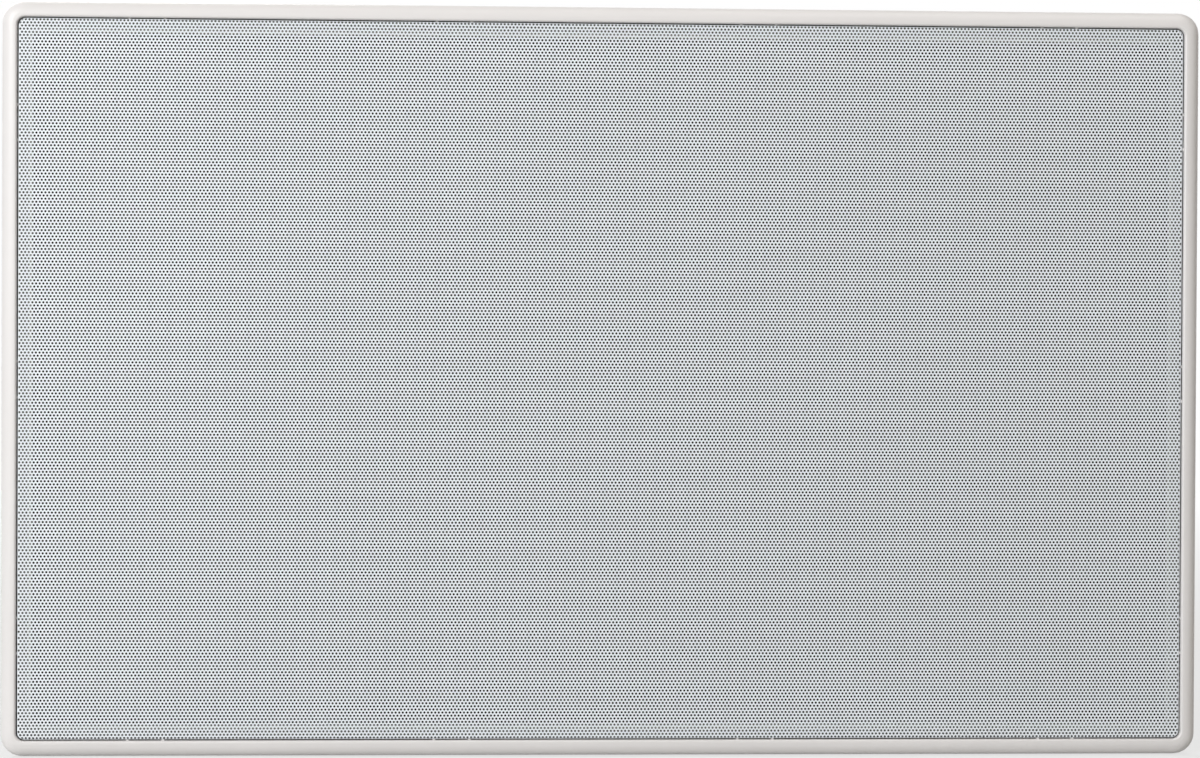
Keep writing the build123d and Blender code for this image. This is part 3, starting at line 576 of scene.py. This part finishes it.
boardLook = {"mask": (0.012, 0.085, 0.03), "fibre": (0.42, 0.36, 0.2), "print": (0.66, 0.66, 0.62),
             "tin": (0.52, 0.51, 0.48), "lane": 4.2 * mm, "laneCrest": 0.55, "link": 5.6 * mm,
             "linkCrest": 0.7, "patch": 16 * mm, "weave": 0.7 * mm, "depth": 0.03 * mm, "weaveRise": 0.15,
             "padRise": 1.5, "roughness": 0.34, "cutRough": 0.2, "bareEdge": 0.5 * mm, "skin": 0.1 * mm,
             "printGap": 0.7 * mm, "printLine": 0.3 * mm, "lead": 0.4 * mm, "pad": 1.35 * mm,
             "tailReach": 0.6 * mm, "tails": {"woofer": (150, 210), "tweeter": (100, 150)},
             "screwHead": 3.2 * mm, "screwPad": 3.8 * mm}


# Middle and half size of a node's box as seen from the back, in X and Z
def footprint(node):
    low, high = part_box(node)
    return ((low.x + high.x) / 2, (low.z + high.z) / 2), ((high.x - low.x) / 2, (high.z - low.z) / 2)


# Middle and radius of a round node
def roundPlace(node):
    centre, half = footprint(node)
    return centre, half[0]


# Where the parts stand on the board and where their leads and the screws go through it
def boardLayout(look):
    rounds, blocks, pads = [], [], []
    for coil, angles in look["tails"].items():
        (x, z), radius = roundPlace(f"{coil}_inductor_bobbin")
        rounds.append(((x, z), radius))
        reach = radius + look["tailReach"]
        pads += [((x + reach * cos(radians(a)), z + reach * sin(radians(a))), look["pad"]) for a in angles]
    for part in ("woofer_capacitor", "tweeter_capacitor", "resistor"):
        (x, z), (halfX, halfZ) = footprint(part)
        alongX, alongZ = (halfX - look["lead"], 0) if halfX > halfZ else (0, halfZ - look["lead"])
        blocks.append(((x, z), (halfX, halfZ)))
        pads += [((x + s * alongX, z + s * alongZ), look["pad"]) for s in (-1, 1)]
    blocks += [footprint(f"terminal_{colour}") for colour in ("red", "black")]
    (x, z), (halfX, halfZ) = footprint("crossover_screws")
    offX, offZ = halfX - look["screwHead"], halfZ - look["screwHead"]
    pads += [((x + s * offX, z + t * offZ), look["screwPad"]) for s in (-1, 1) for t in (-1, 1)]
    return rounds, blocks, pads


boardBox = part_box("crossover_board")
finishes["board_fibre"] = boardFinish("board_fibre", boardLook, boardBox, *boardLayout(boardLook))

coilLook = {"former": (0.589, 0.589, 0.570), "copper": (0.60, 0.24, 0.11), "roughness": 0.28, "dull": 0.2,
            "wire": 0.3 * mm, "cloud": 2 * mm, "depth": 0.05 * mm, "bareLength": 15.5 * mm}
stripLook = {"board": (0.20, 0.085, 0.03), "tin": (0.50, 0.49, 0.46), "roughness": 0.62, "lugGloss": 0.25,
             "fibre": 0.8 * mm, "depth": 0.02 * mm, "lug": 0.78 * mm}
wrapLook = {"film": (0.62, 0.40, 0.035), "resin": (0.55, 0.42, 0.10), "tin": (0.62, 0.61, 0.58),
            "roughness": 0.2, "endRough": 0.35, "leadGloss": 0.15, "streakRough": 0.1, "coat": 0.5,
            "end": 1.0 * mm, "streak": 2.5 * mm, "lead": 1.65 * mm, "depth": 0.02 * mm}


# Finishes that follow one node's own place: lathe rings, windings, lugs and wrapped ends
def ownFinish(node, slot):
    low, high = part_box(node)
    if slot == "plated_steel":
        return turnedSteel(node, steel, (low + high) / 2)
    if slot == "coil_former":
        return coilFinish(node, coilLook, low.y + coilLook["bareLength"] if "woofer" in node else low.y)
    if slot == "strip_board":
        return stripFinish(node, stripLook, high.y - stripLook["lug"])
    if slot == "capacitor_wrap":
        size = high - low
        return wrapFinish(node, wrapLook, (low, high), 2 if size.z > size.x else 0)
    return finishes[slot]


for nodeName, nodeObject in frame["nodes"].items():
    slotName = nodeObject.data.materials[0].name.split(".")[0]
    nodeObject.data.materials[0] = ownFinish(nodeName, slotName)
print("finishes made:", len(bpy.data.materials))


# Quads between neighbours on a grid of points; a wrapped side joins its end to its start
def gridFaces(rows, columns, wrapRows=False, wrapColumns=False):
    row = np.arange(rows if wrapRows else rows - 1)[:, None]
    column = np.arange(columns if wrapColumns else columns - 1)[None, :]
    nextRow, nextColumn = (row + 1) % rows, (column + 1) % columns
    corners = [row * columns + column, row * columns + nextColumn, nextRow * columns + nextColumn,
               nextRow * columns + column]
    return np.stack(np.broadcast_arrays(*corners), axis=-1).reshape(-1, 4)


# Volume inside closed quads, negative where they face inwards
def signedVolume(points, faces):
    a, b, c, d = (points[faces[:, i]] for i in range(4))
    return float(np.sum(a * np.cross(b, c)) + np.sum(a * np.cross(c, d))) / 6


def makePiece(name, points, faces, finish, closed=True, smooth=True):
    points = np.asarray(points, np.float64).reshape(-1, 3)
    if closed and signedVolume(points, faces) < 0:
        faces = faces[:, ::-1]
    mesh = bpy.data.meshes.new(name)
    mesh.vertices.add(len(points))
    mesh.vertices.foreach_set("co", points.astype(np.float32).ravel())
    mesh.loops.add(faces.size)
    mesh.loops.foreach_set("vertex_index", faces.astype(np.int32).ravel())
    mesh.polygons.add(len(faces))
    mesh.polygons.foreach_set("loop_start", np.arange(0, faces.size, 4, dtype=np.int32))
    mesh.polygons.foreach_set("use_smooth", np.full(len(faces), smooth))
    mesh.update(calc_edges=True)
    mesh.materials.append(finish)
    piece = bpy.data.objects.new(name, mesh)
    bpy.context.scene.collection.objects.link(piece)
    return piece


# Merges the points that meet on an axis, which leaves triangles round the pole
def weldPoles(piece):
    shape = bmesh.new()
    shape.from_mesh(piece.data)
    bmesh.ops.remove_doubles(shape, verts=shape.verts, dist=hair)
    shape.to_mesh(piece.data)
    shape.free()


def dress(piece, body, slot, *nodes):
    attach(piece, body)
    if nodes:
        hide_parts(*nodes)
    return piece


# A profile of (radius, depth) rows swung round an axis along Y through (x, z)
def turnedGrid(profile, centre, segments):
    angle = np.linspace(0.0, 2 * pi, segments, endpoint=False)[:, None]
    radius, depth = np.asarray(profile).T
    x = centre[0] + np.cos(angle) * radius
    z = centre[1] + np.sin(angle) * radius
    return np.stack([x, np.broadcast_to(depth, x.shape), z], axis=-1)


def turnedPiece(name, profile, centre, segments, finish, loop=True):
    points = turnedGrid(profile, centre, segments)
    faces = gridFaces(segments, len(profile), wrapRows=True, wrapColumns=loop)
    piece = makePiece(name, points, faces, finish)
    if not loop:
        weldPoles(piece)
    return piece


# Perforated grille sheet in strips of whole rows. Each hole sits in a brick of one pitch by one row,
# every other row half a pitch along; six quads join the brick's six edge points to a six-sided hole.
# The outermost holes run on to the folded edge, as far as a turn of wrap radians.
grilleLook = {"pitch": 1.1 * mm, "hole": 0.37 * mm, "fold": 0.5 * mm, "wrap": 1.0, "sheet": 0.6 * mm,
              "corner": 2.2 * mm, "strips": 5, "cornerSteps": 9, "foldSteps": 4, "firstCorner": 210,
              "notch": (0.62 * mm, 1.1 * mm), "notchWall": 0.1 * mm}
grilleHalf = np.array([grilleHigh.x, grilleHigh.z])
flatHalf = grilleHalf + grilleLook["fold"] * (grilleLook["wrap"] - 1)
grilleColumns, grilleRows = np.round(flatHalf / grilleLook["pitch"] * (2, 4 / sqrt(3))).astype(int)
grilleRow = 2 * flatHalf[1] / grilleRows


# Bends flat points over the folded edge: past the start of the fold, the distance out from a rectangle
# inside the rounded corners becomes an arc of the fold, and what lies past the wrap stops there
def bendEdge(points):
    nothing = 1e-9  # keeps the division whole where there is no reach
    flat = points[:, [0, 2]]
    core = grilleHalf - grilleLook["corner"]
    out = np.maximum(np.abs(flat) - core, 0)
    reach = np.hypot(*out.T)
    start, fold = grilleLook["corner"] - grilleLook["fold"], grilleLook["fold"]
    turn = np.clip((reach - start) / fold, 0, grilleLook["wrap"])
    bent = np.where(turn > 0, start + fold * np.sin(turn), reach) / np.maximum(reach, nothing)
    flat = np.sign(flat) * (np.minimum(np.abs(flat), core) + out * bent[:, None])
    points = np.stack([flat[:, 0], points[:, 1] + fold * (1 - np.cos(turn)), flat[:, 1]], axis=-1)
    return points, reach > start + fold * grilleLook["wrap"] + hair


def piercedStrip(name, firstRow, lastRow):
    rows = lastRow - firstRow
    lineCount = 2 * grilleColumns + 1
    lineX = np.linspace(-flatHalf[0], flatHalf[0], lineCount)
    lineZ = (firstRow + np.arange(rows + 1)) * grilleRow - flatHalf[1]
    lines = np.stack(np.broadcast_arrays(lineX[None, :], grilleLow.y, lineZ[:, None]), axis=-1).reshape(-1, 3)
    # row of each brick and the edge point at its left end; shifted rows hold one brick less
    brick = [(r, np.arange((firstRow + r) % 2, lineCount - 2, 2)) for r in range(rows)]
    brickRow = np.concatenate([np.full(len(left), r) for r, left in brick])
    brickLeft = np.concatenate([left for r, left in brick])
    low = brickRow * lineCount + brickLeft
    high = low + lineCount
    outer = np.stack([low, low + 1, low + 2, high + 2, high + 1, high], axis=-1)
    turn = np.radians(grilleLook["firstCorner"] + 60 * np.arange(6))
    middle = (lines[low + 1] + lines[high + 1]) / 2
    ringXZ = grilleLook["hole"] * np.stack([np.cos(turn), np.zeros(6), np.sin(turn)], axis=-1)
    holes = (middle[:, None, :] + ringXZ[None, :, :]).reshape(-1, 3)
    inner = len(lines) + np.arange(len(holes)).reshape(-1, 6)
    faces = np.stack([outer, np.roll(outer, -1, 1), np.roll(inner, -1, 1), inner], axis=-1).reshape(-1, 4)
    # the half bricks left at both ends of a shifted row are plain
    shifted = np.array([r for r in range(rows) if (firstRow + r) % 2])
    ends = np.concatenate([shifted * lineCount, shifted * lineCount + lineCount - 2])
    plain = np.stack([ends, ends + 1, ends + 1 + lineCount, ends + lineCount], axis=-1)
    points, beyond = bendEdge(np.concatenate([lines, holes]))
    faces = np.concatenate([faces, plain])
    faces = faces[~beyond[faces].all(axis=1)]
    used, faces = np.unique(faces, return_inverse=True)
    piece = makePiece(name, points[used], faces.reshape(-1, 4), finishes["grille_paint"], False, False)
    return dress(piece, "frame", "grille_paint", "grille")


stripRows = np.linspace(0, grilleRows, grilleLook["strips"] + 1).astype(int)
for i in range(grilleLook["strips"]):
    piercedStrip(f"grilleStrip{i + 1}", stripRows[i], stripRows[i + 1])


# Folded rim: a section carried round a rounded rectangle. It ends the fold's quarter circle, runs down the
# lip, returns inside the sheet's thickness and has a notch behind the fold for the edge of the cloth.
def foldedRim():
    fold, sheet, wall = grilleLook["fold"], grilleLook["sheet"], grilleLook["notchWall"]
    bend = grilleLook["corner"] - fold
    quarter = np.linspace(0, pi / 2, grilleLook["cornerSteps"])
    angle = np.concatenate([quarter + k * pi / 2 for k in range(4)])
    out = np.stack([np.cos(angle), np.sin(angle)], axis=-1)
    side = np.repeat([[1, 1], [-1, 1], [-1, -1], [1, -1]], len(quarter), axis=0)
    path = side * (grilleHalf - fold - bend) + bend * out
    arc = np.linspace(grilleLook["wrap"], pi / 2, grilleLook["foldSteps"])
    front, back = grilleLow.y, grilleHigh.y
    notchFront, notchBack = front + grilleLook["notch"][0], front + grilleLook["notch"][1]
    section = [(fold * sin(a), front + fold * (1 - cos(a))) for a in arc]
    section += [(fold, back), (fold - sheet, back), (fold - sheet, notchBack), (fold - wall, notchBack),
                (fold - wall, notchFront)]
    reach, depth = np.array(section).T
    flat = path[:, None, :] + reach[None, :, None] * out[:, None, :]
    points = np.stack([flat[..., 0], np.broadcast_to(depth, flat.shape[:2]), flat[..., 1]], axis=-1)
    faces = gridFaces(len(path), len(section), True, True)
    rim = makePiece("grilleRim", points, faces, finishes["grille_paint"])
    return dress(rim, "frame", "grille_paint", "grille")


foldedRim()
print("grille pierced:", grilleColumns, "by", grilleRows)


# Black cloth behind the grille: a flat sheet with a faint slack ripple
scrimLook = {"across": 48, "up": 30, "ripple": 0.08 * mm, "wave": 46 * mm, "inset": 0.12 * mm,
             "corner": 2.1 * mm}


# Places along a side: its two ends, and even steps between its rounded corners
def sidePlaces(half, corner, count):
    return np.concatenate([[-half], np.linspace(corner - half, half - corner, count - 2), [half]])


def scrimSheet():
    low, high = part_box("grille_scrim")
    (halfX, halfZ), corner = grilleHalf - scrimLook["inset"], scrimLook["corner"]
    x, z = np.meshgrid(sidePlaces(halfX, corner, scrimLook["across"]),
                       sidePlaces(halfZ, corner, scrimLook["up"]))
    ripple = np.sin(x / scrimLook["wave"] * 2 * pi) * np.cos(z / scrimLook["wave"] * 2 * pi)
    y = (low.y + high.y) / 2 + scrimLook["ripple"] * ripple
    # the four corner points come in to the round of the grille's corner
    ends = np.ix_([0, -1], [0, -1])
    x[ends] *= 1 - corner * (1 - sqrt(0.5)) / halfX
    z[ends] *= 1 - corner * (1 - sqrt(0.5)) / halfZ
    points = np.stack([x, y, z], axis=-1)
    faces = gridFaces(*x.shape)
    cloth = makePiece("scrimCloth", points, faces, finishes["scrim_cloth"], closed=False)
    dress(cloth, "frame", "scrim_cloth", "grille_scrim")


scrimSheet()


# Sets a soft ring's place into its mesh and works out, for each point, an even S-shaped share that is
# none inside one radius and whole outside another; nothing uses the share
def flexBetween(piece, centre, inside, outside):
    start, end = ((centre[0] + radius, 0, centre[1]) for radius in (inside, outside))
    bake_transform(piece)
    points = np.empty(len(piece.data.vertices) * 3, np.float32)
    piece.data.vertices.foreach_get("co", points)
    x, z = points.reshape(-1, 3)[:, ::2].T
    share = np.clip((np.hypot(x - centre[0], z - centre[1]) - inside) / (outside - inside), 0.0, 1.0)
    share = share * share * (3 - 2 * share)


# Surround: a half roll between two lands. The front height is the rounded maximum of the land and the
# roll's half circle, and the back is a smaller half circle below it.
surroundLook = {"roll": 4.0 * mm, "sheet": 0.7 * mm, "landOut": 4.5 * mm, "landIn": 3.2 * mm, "steps": 17,
                "segments": 96, "softness": 5}


def makeSurround(side):
    node = f"woofer_surround_{side}"
    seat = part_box(node)[1].y
    centre, outerLand = roundPlace(node)
    roll, sheet = surroundLook["roll"], surroundLook["sheet"]
    middle = outerLand - surroundLook["landOut"] - roll
    innerLand = middle - roll - surroundLook["landIn"]
    turn = np.linspace(0, pi, surroundLook["steps"])
    power = surroundLook["softness"]
    frontRadius = np.concatenate([[innerLand, (innerLand + middle - roll) / 2], middle - roll * np.cos(turn),
                                  [(outerLand + middle + roll) / 2, outerLand]])
    arch = np.sqrt(np.clip(roll**2 - (frontRadius - middle) ** 2, 0, None))
    front = np.stack([frontRadius, seat - (arch**power + sheet**power) ** (1 / power)], axis=-1)
    backRadius = np.concatenate([[outerLand], middle + (roll - sheet) * np.cos(turn), [innerLand]])
    backArch = np.concatenate([[0], (roll - sheet) * np.sin(turn), [0]])
    back = np.stack([backRadius, seat - backArch], axis=-1)
    ring = turnedPiece(f"surround_{side}", np.concatenate([front, back]), centre, surroundLook["segments"],
                       finishes["surround_rubber"])
    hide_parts(node)
    flexBetween(ring, centre, middle - roll, middle + roll)


# Spider: a cloth disc pressed in sine waves between a flat collar and a flat rim
spiderLook = {"collar": 2.0 * mm, "rim": 7.0 * mm, "waves": 4, "sheet": 0.5 * mm, "steps": 33, "segments": 64,
              "overlap": 0.2 * mm, "fullness": 0.96}


def makeSpider(side):
    node = f"woofer_spider_{side}"
    low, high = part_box(node)
    centre, rim = roundPlace(node)
    hole = roundPlace(f"woofer_voice_coil_{side}")[1] - spiderLook["overlap"]
    first, last = hole + spiderLook["collar"], rim - spiderLook["rim"]
    part = np.linspace(0, 1, spiderLook["steps"])
    radius = np.concatenate([[hole], first + (last - first) * part, [(last + rim) / 2, rim]])
    level = (low.y + high.y) / 2
    swing = (high.y - low.y - spiderLook["sheet"]) / 2 * spiderLook["fullness"]
    wave = np.concatenate([[0], -swing * np.sin(2 * pi * spiderLook["waves"] * part), [0, 0]])
    front = np.stack([radius, level + wave - spiderLook["sheet"] / 2], axis=-1)
    back = np.stack([radius, level + wave + spiderLook["sheet"] / 2], axis=-1)[::-1]
    disc = turnedPiece(f"spider_{side}", np.concatenate([front, back]), centre, spiderLook["segments"],
                       finishes["spider_cloth"])
    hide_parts(node)
    flexBetween(disc, centre, first, last)


# Foam gasket: a flat ring with a cushioned section, a superellipse in radius and depth
gasketLook = {"width": 3.9 * mm, "steps": 16, "segments": 96, "power": 0.45}


def makeGasket(side):
    node = f"woofer_gasket_{side}"
    low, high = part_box(node)
    centre, outer = roundPlace(node)
    turn = np.linspace(0, 2 * pi, gasketLook["steps"], endpoint=False)
    across = np.sign(np.cos(turn)) * np.abs(np.cos(turn)) ** gasketLook["power"]
    deep = np.sign(np.sin(turn)) * np.abs(np.sin(turn)) ** gasketLook["power"]
    radius = outer - gasketLook["width"] / 2 + across * gasketLook["width"] / 2
    depth = (low.y + high.y) / 2 + deep * (high.y - low.y) / 2
    ring = turnedPiece(f"gasket_{side}", np.stack([radius, depth], axis=-1), centre, gasketLook["segments"],
                       finishes["gasket_foam"])
    dress(ring, "frame", "gasket_foam", node)


for sideName in ("left", "right"):
    makeSurround(sideName)
    makeSpider(sideName)
    makeGasket(sideName)
print("woofer soft parts made")


# Depth of a cap of a sphere behind its crown, at each radius out to its edge
def capDrop(radius, edge, height):
    ball = (edge**2 + height**2) / (2 * height)
    return ball - np.sqrt(ball**2 - radius**2)


# Dust cap: a cap of a sphere with a straight rim, one skin glued on the cone
capLook = {"skin": 0.8 * mm, "steps": 12, "segments": 72}


def makeDustCap(side):
    node = f"woofer_dust_cap_{side}"
    low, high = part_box(node)
    centre, edge = roundPlace(node)
    radius = np.linspace(0, edge, capLook["steps"])
    front = np.stack([radius, low.y + capDrop(radius, edge, high.y - low.y - capLook["skin"])], axis=-1)
    cap = turnedPiece(f"dustCap_{side}", np.concatenate([front, front[::-1] + [0, capLook["skin"]]]), centre,
                      capLook["segments"], finishes["dust_cap_plastic"], loop=False)
    dress(cap, f"{side}_cone", "dust_cap_plastic", node)


for sideName in ("left", "right"):
    makeDustCap(sideName)


# Tweeter dome: a cap of a sphere running into a small half roll and a flat land, one thin skin
domeLook = {"radius": 12.9 * mm, "roll": 1.3 * mm, "skin": 0.3 * mm, "capSteps": 18, "rollSteps": 9,
            "segments": 72}


def makeDome():
    low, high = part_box("tweeter_dome")
    centre, land = roundPlace("tweeter_dome")
    edge, roll, skin = domeLook["radius"], domeLook["roll"], domeLook["skin"]
    level = high.y - skin
    cap = np.linspace(0, edge, domeLook["capSteps"])
    capDepth = low.y + capDrop(cap, edge, level - low.y)
    turn = np.linspace(0, pi, domeLook["rollSteps"])[1:]
    rollRadius = edge + roll - roll * np.cos(turn)
    rollDepth = level - roll * np.sin(turn)
    front = np.stack([np.concatenate([cap, rollRadius, [land]]),
                      np.concatenate([capDepth, rollDepth, [level]])], axis=-1)
    back = front[::-1] + [0, skin]
    dome = turnedPiece("tweeterDome", np.concatenate([front, back]), centre, domeLook["segments"],
                       finishes["dome_cloth"], loop=False)
    dress(dome, "frame", "dome_cloth", "tweeter_dome")


makeDome()


# A helix on a shaft: the radius rises to a crest once in every pitch of depth, a turn behind the angle
def helixSleeve(name, centre, radius, crest, pitch, front, back, segments, perPitch, finish):
    angle = np.linspace(0, 2 * pi, segments, endpoint=False)[:, None]
    depth = np.linspace(front, back, int((back - front) / pitch * perPitch))[None, :]
    lift = np.abs(np.sin(pi * (depth / pitch - angle / (2 * pi))))
    reach = radius + crest * lift
    points = np.stack(np.broadcast_arrays(centre[0] + reach * np.cos(angle), depth,
                                          centre[1] + reach * np.sin(angle)), axis=-1)
    faces = gridFaces(segments, points.shape[1], wrapRows=True)[:, ::-1]
    return makePiece(name, points, faces, finish, closed=False)


# Copper turns on each inductor, and rolled threads on the clamp screws
turnLook = {"wire": 0.9 * mm, "flange": 1.6 * mm, "inset": 1.2 * mm, "segments": 56, "perPitch": 5}
threadLook = {"radius": 2.0 * mm, "crest": 0.12 * mm, "pitch": 1.25 * mm, "start": 3.0 * mm, "end": 1.4 * mm,
              "head": 2.3 * mm, "clear": 0.005 * mm, "segments": 12, "perPitch": 5}
for coilName in ("woofer", "tweeter"):
    coilLow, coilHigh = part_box(f"{coilName}_inductor_bobbin")
    coilMiddle, coilRadius = roundPlace(f"{coilName}_inductor_bobbin")
    coilTurns = helixSleeve(f"{coilName}CoilTurns", coilMiddle, coilRadius - turnLook["inset"],
                            turnLook["wire"] / 2, turnLook["wire"], coilLow.y + turnLook["flange"],
                            coilHigh.y - turnLook["flange"], turnLook["segments"], turnLook["perPitch"],
                            finishes["copper_wire"])
    dress(coilTurns, "frame", "copper_wire")
for corner in ("top_left", "top_right", "bottom_left", "bottom_right"):
    screwLow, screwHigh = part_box(f"clamp_screw_{corner}")
    screwMiddle = footprint(f"clamp_screw_{corner}")[0]
    thread = helixSleeve(f"clampThread_{corner}", screwMiddle, threadLook["radius"] + threadLook["clear"],
                         threadLook["crest"], threadLook["pitch"],
                         screwLow.y + threadLook["head"] + threadLook["start"],
                         screwHigh.y - threadLook["end"], threadLook["segments"], threadLook["perPitch"],
                         finishes["screw_zinc"])
    dress(thread, f"{corner}_screw", "screw_zinc")
print("windings and threads made")


# Floor: a wide pale sheet that fades into the white background away from the object
floorLook = {"half": 4.0, "steps": 3, "drop": 0.2 * mm, "colour": (0.53, 0.53, 0.52), "fadeFrom": 0.35,
             "fadeTo": 1.6, "glow": 0.67, "tooth": 2 * mm, "depth": 0.02 * mm}


def makeFloor():
    line = np.linspace(-floorLook["half"], floorLook["half"], floorLook["steps"])
    level = cadBox[0].z - floorLook["drop"]
    points = np.stack(np.broadcast_arrays(line[None, :], line[:, None], level), axis=-1)
    f = Finish("floorPaper")
    x, y = f.axes()[:2]
    reach = (x * x + y * y).root()
    fade = f.node("ShaderNodeMapRange", {"interpolation_type": "SMOOTHSTEP"},
                  {"Value": reach, "From Min": floorLook["fadeFrom"], "From Max": floorLook["fadeTo"]})
    tooth = f.noise(floorLook["tooth"], detail=3.0)
    f.shade({"Base Color": f.shades(tooth, floorLook["colour"], low=0.99, high=1.01),
             "Roughness": 0.9, "Normal": f.bump(tooth, floorLook["depth"])})
    direct, glossy, through = f.seenBy()
    seen = direct + glossy + through
    glow = f.node("ShaderNodeEmission", None, {"Color": (1, 1, 1, 1), "Strength": 1.0})
    paper = Value(f, f.shader.outputs[0])
    share = floorLook["glow"] + (1.0 - floorLook["glow"]) * fade
    mixed = f.node("ShaderNodeMixShader", None, {0: share * seen, 1: paper, 2: glow})
    f.fill(f.tree.nodes["Material Output"].inputs["Surface"], mixed)
    floor = makePiece("floor", points, gridFaces(floorLook["steps"], floorLook["steps"]), f.material, False)
    floor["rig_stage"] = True


makeFloor()

# World: white where the camera, a reflection or glass looks, a plain grey light on everything else
skyLook = {"light": (0.148, 0.132, 0.110, 1.0), "seen": (1.0, 1.0, 1.0, 1.0)}


def makeSky():
    world = bpy.data.worlds.new("studio")
    world.use_nodes = True
    sky = Nodes(world.node_tree)
    plain = sky.tree.nodes["Background"]
    sky.fill(plain.inputs["Color"], skyLook["light"])
    bright = sky.node("ShaderNodeBackground", None, {"Color": skyLook["seen"]})
    direct, glossy, through = sky.seenBy()
    share = direct.most(glossy.most(through))
    mixed = sky.node("ShaderNodeMixShader", None, {0: share, 1: Value(sky, plain.outputs[0]), 2: bright})
    sky.fill(sky.tree.nodes["World Output"].inputs["Surface"], mixed)
    bpy.context.scene.world = world


makeSky()

# Soft boxes: a large key from the upper left in front, a weak warm fill, one overhead and one behind
lampLooks = {
    "key": {"place": (-1.25, -1.75, 0.66), "size": 0.9, "power": 41.4, "colour": (0.975, 0.99, 1.0)},
    "fill": {"place": (1.2, -0.9, 0.3), "size": 0.9, "power": 0.5, "colour": (1.0, 0.76, 0.52)},
    "top": {"place": (0.3, -0.25, 1.4), "size": 1.0, "power": 5.8, "colour": (1.0, 0.97, 0.94)},
    "rear": {"place": (-0.7, 1.3, 0.9), "size": 1.0, "power": 16.0, "colour": (1.0, 1.0, 1.0)},
}
for lampName, lampLook in lampLooks.items():
    lamp = bpy.data.lights.new(lampName, "AREA")
    lamp.size = lampLook["size"]
    lamp.energy = lampLook["power"]
    lamp.color = lampLook["colour"]
    lampObject = bpy.data.objects.new(lampName, lamp)
    lampObject.location = lampLook["place"]
    lampObject.rotation_mode = "QUATERNION"
    lampObject.rotation_quaternion = (-Vector(lampLook["place"])).to_track_quat("-Z", "Y")
    bpy.context.scene.collection.objects.link(lampObject)

# Camera: almost square on, a little to the left and turned slightly, as the photograph was taken
cameraLook = {"target": (-1.53 * mm, -3.0 * mm, 0.78 * mm), "distance": 0.8, "azimuth": -2.62,
              "elevation": 0.56, "roll": 0.27, "lens": 78.0, "clip": (0.01, 50.0)}
azimuth, elevation = radians(cameraLook["azimuth"]), radians(cameraLook["elevation"])
backward = Vector((sin(azimuth) * cos(elevation), -cos(azimuth) * cos(elevation), sin(elevation)))
camera = bpy.data.cameras.new("camera")
camera.lens = cameraLook["lens"]
camera.clip_start, camera.clip_end = cameraLook["clip"]
cameraObject = bpy.data.objects.new("camera", camera)
cameraObject.location = Vector(cameraLook["target"]) + cameraLook["distance"] * backward
cameraObject.rotation_mode = "QUATERNION"
level = (-backward).to_track_quat("-Z", "Y")
cameraObject.rotation_quaternion = level @ Quaternion((0, 0, 1), radians(cameraLook["roll"]))
bpy.context.scene.collection.objects.link(cameraObject)
bpy.context.scene.camera = cameraObject
bpy.context.scene.view_settings.view_transform = "Standard"
print("stage set")

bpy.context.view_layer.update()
addedFaces = sum(len(p.vertices) - 2 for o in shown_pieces() if "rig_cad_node" not in o for p in o.data.polygons)
print("triangles added:", addedFaces)
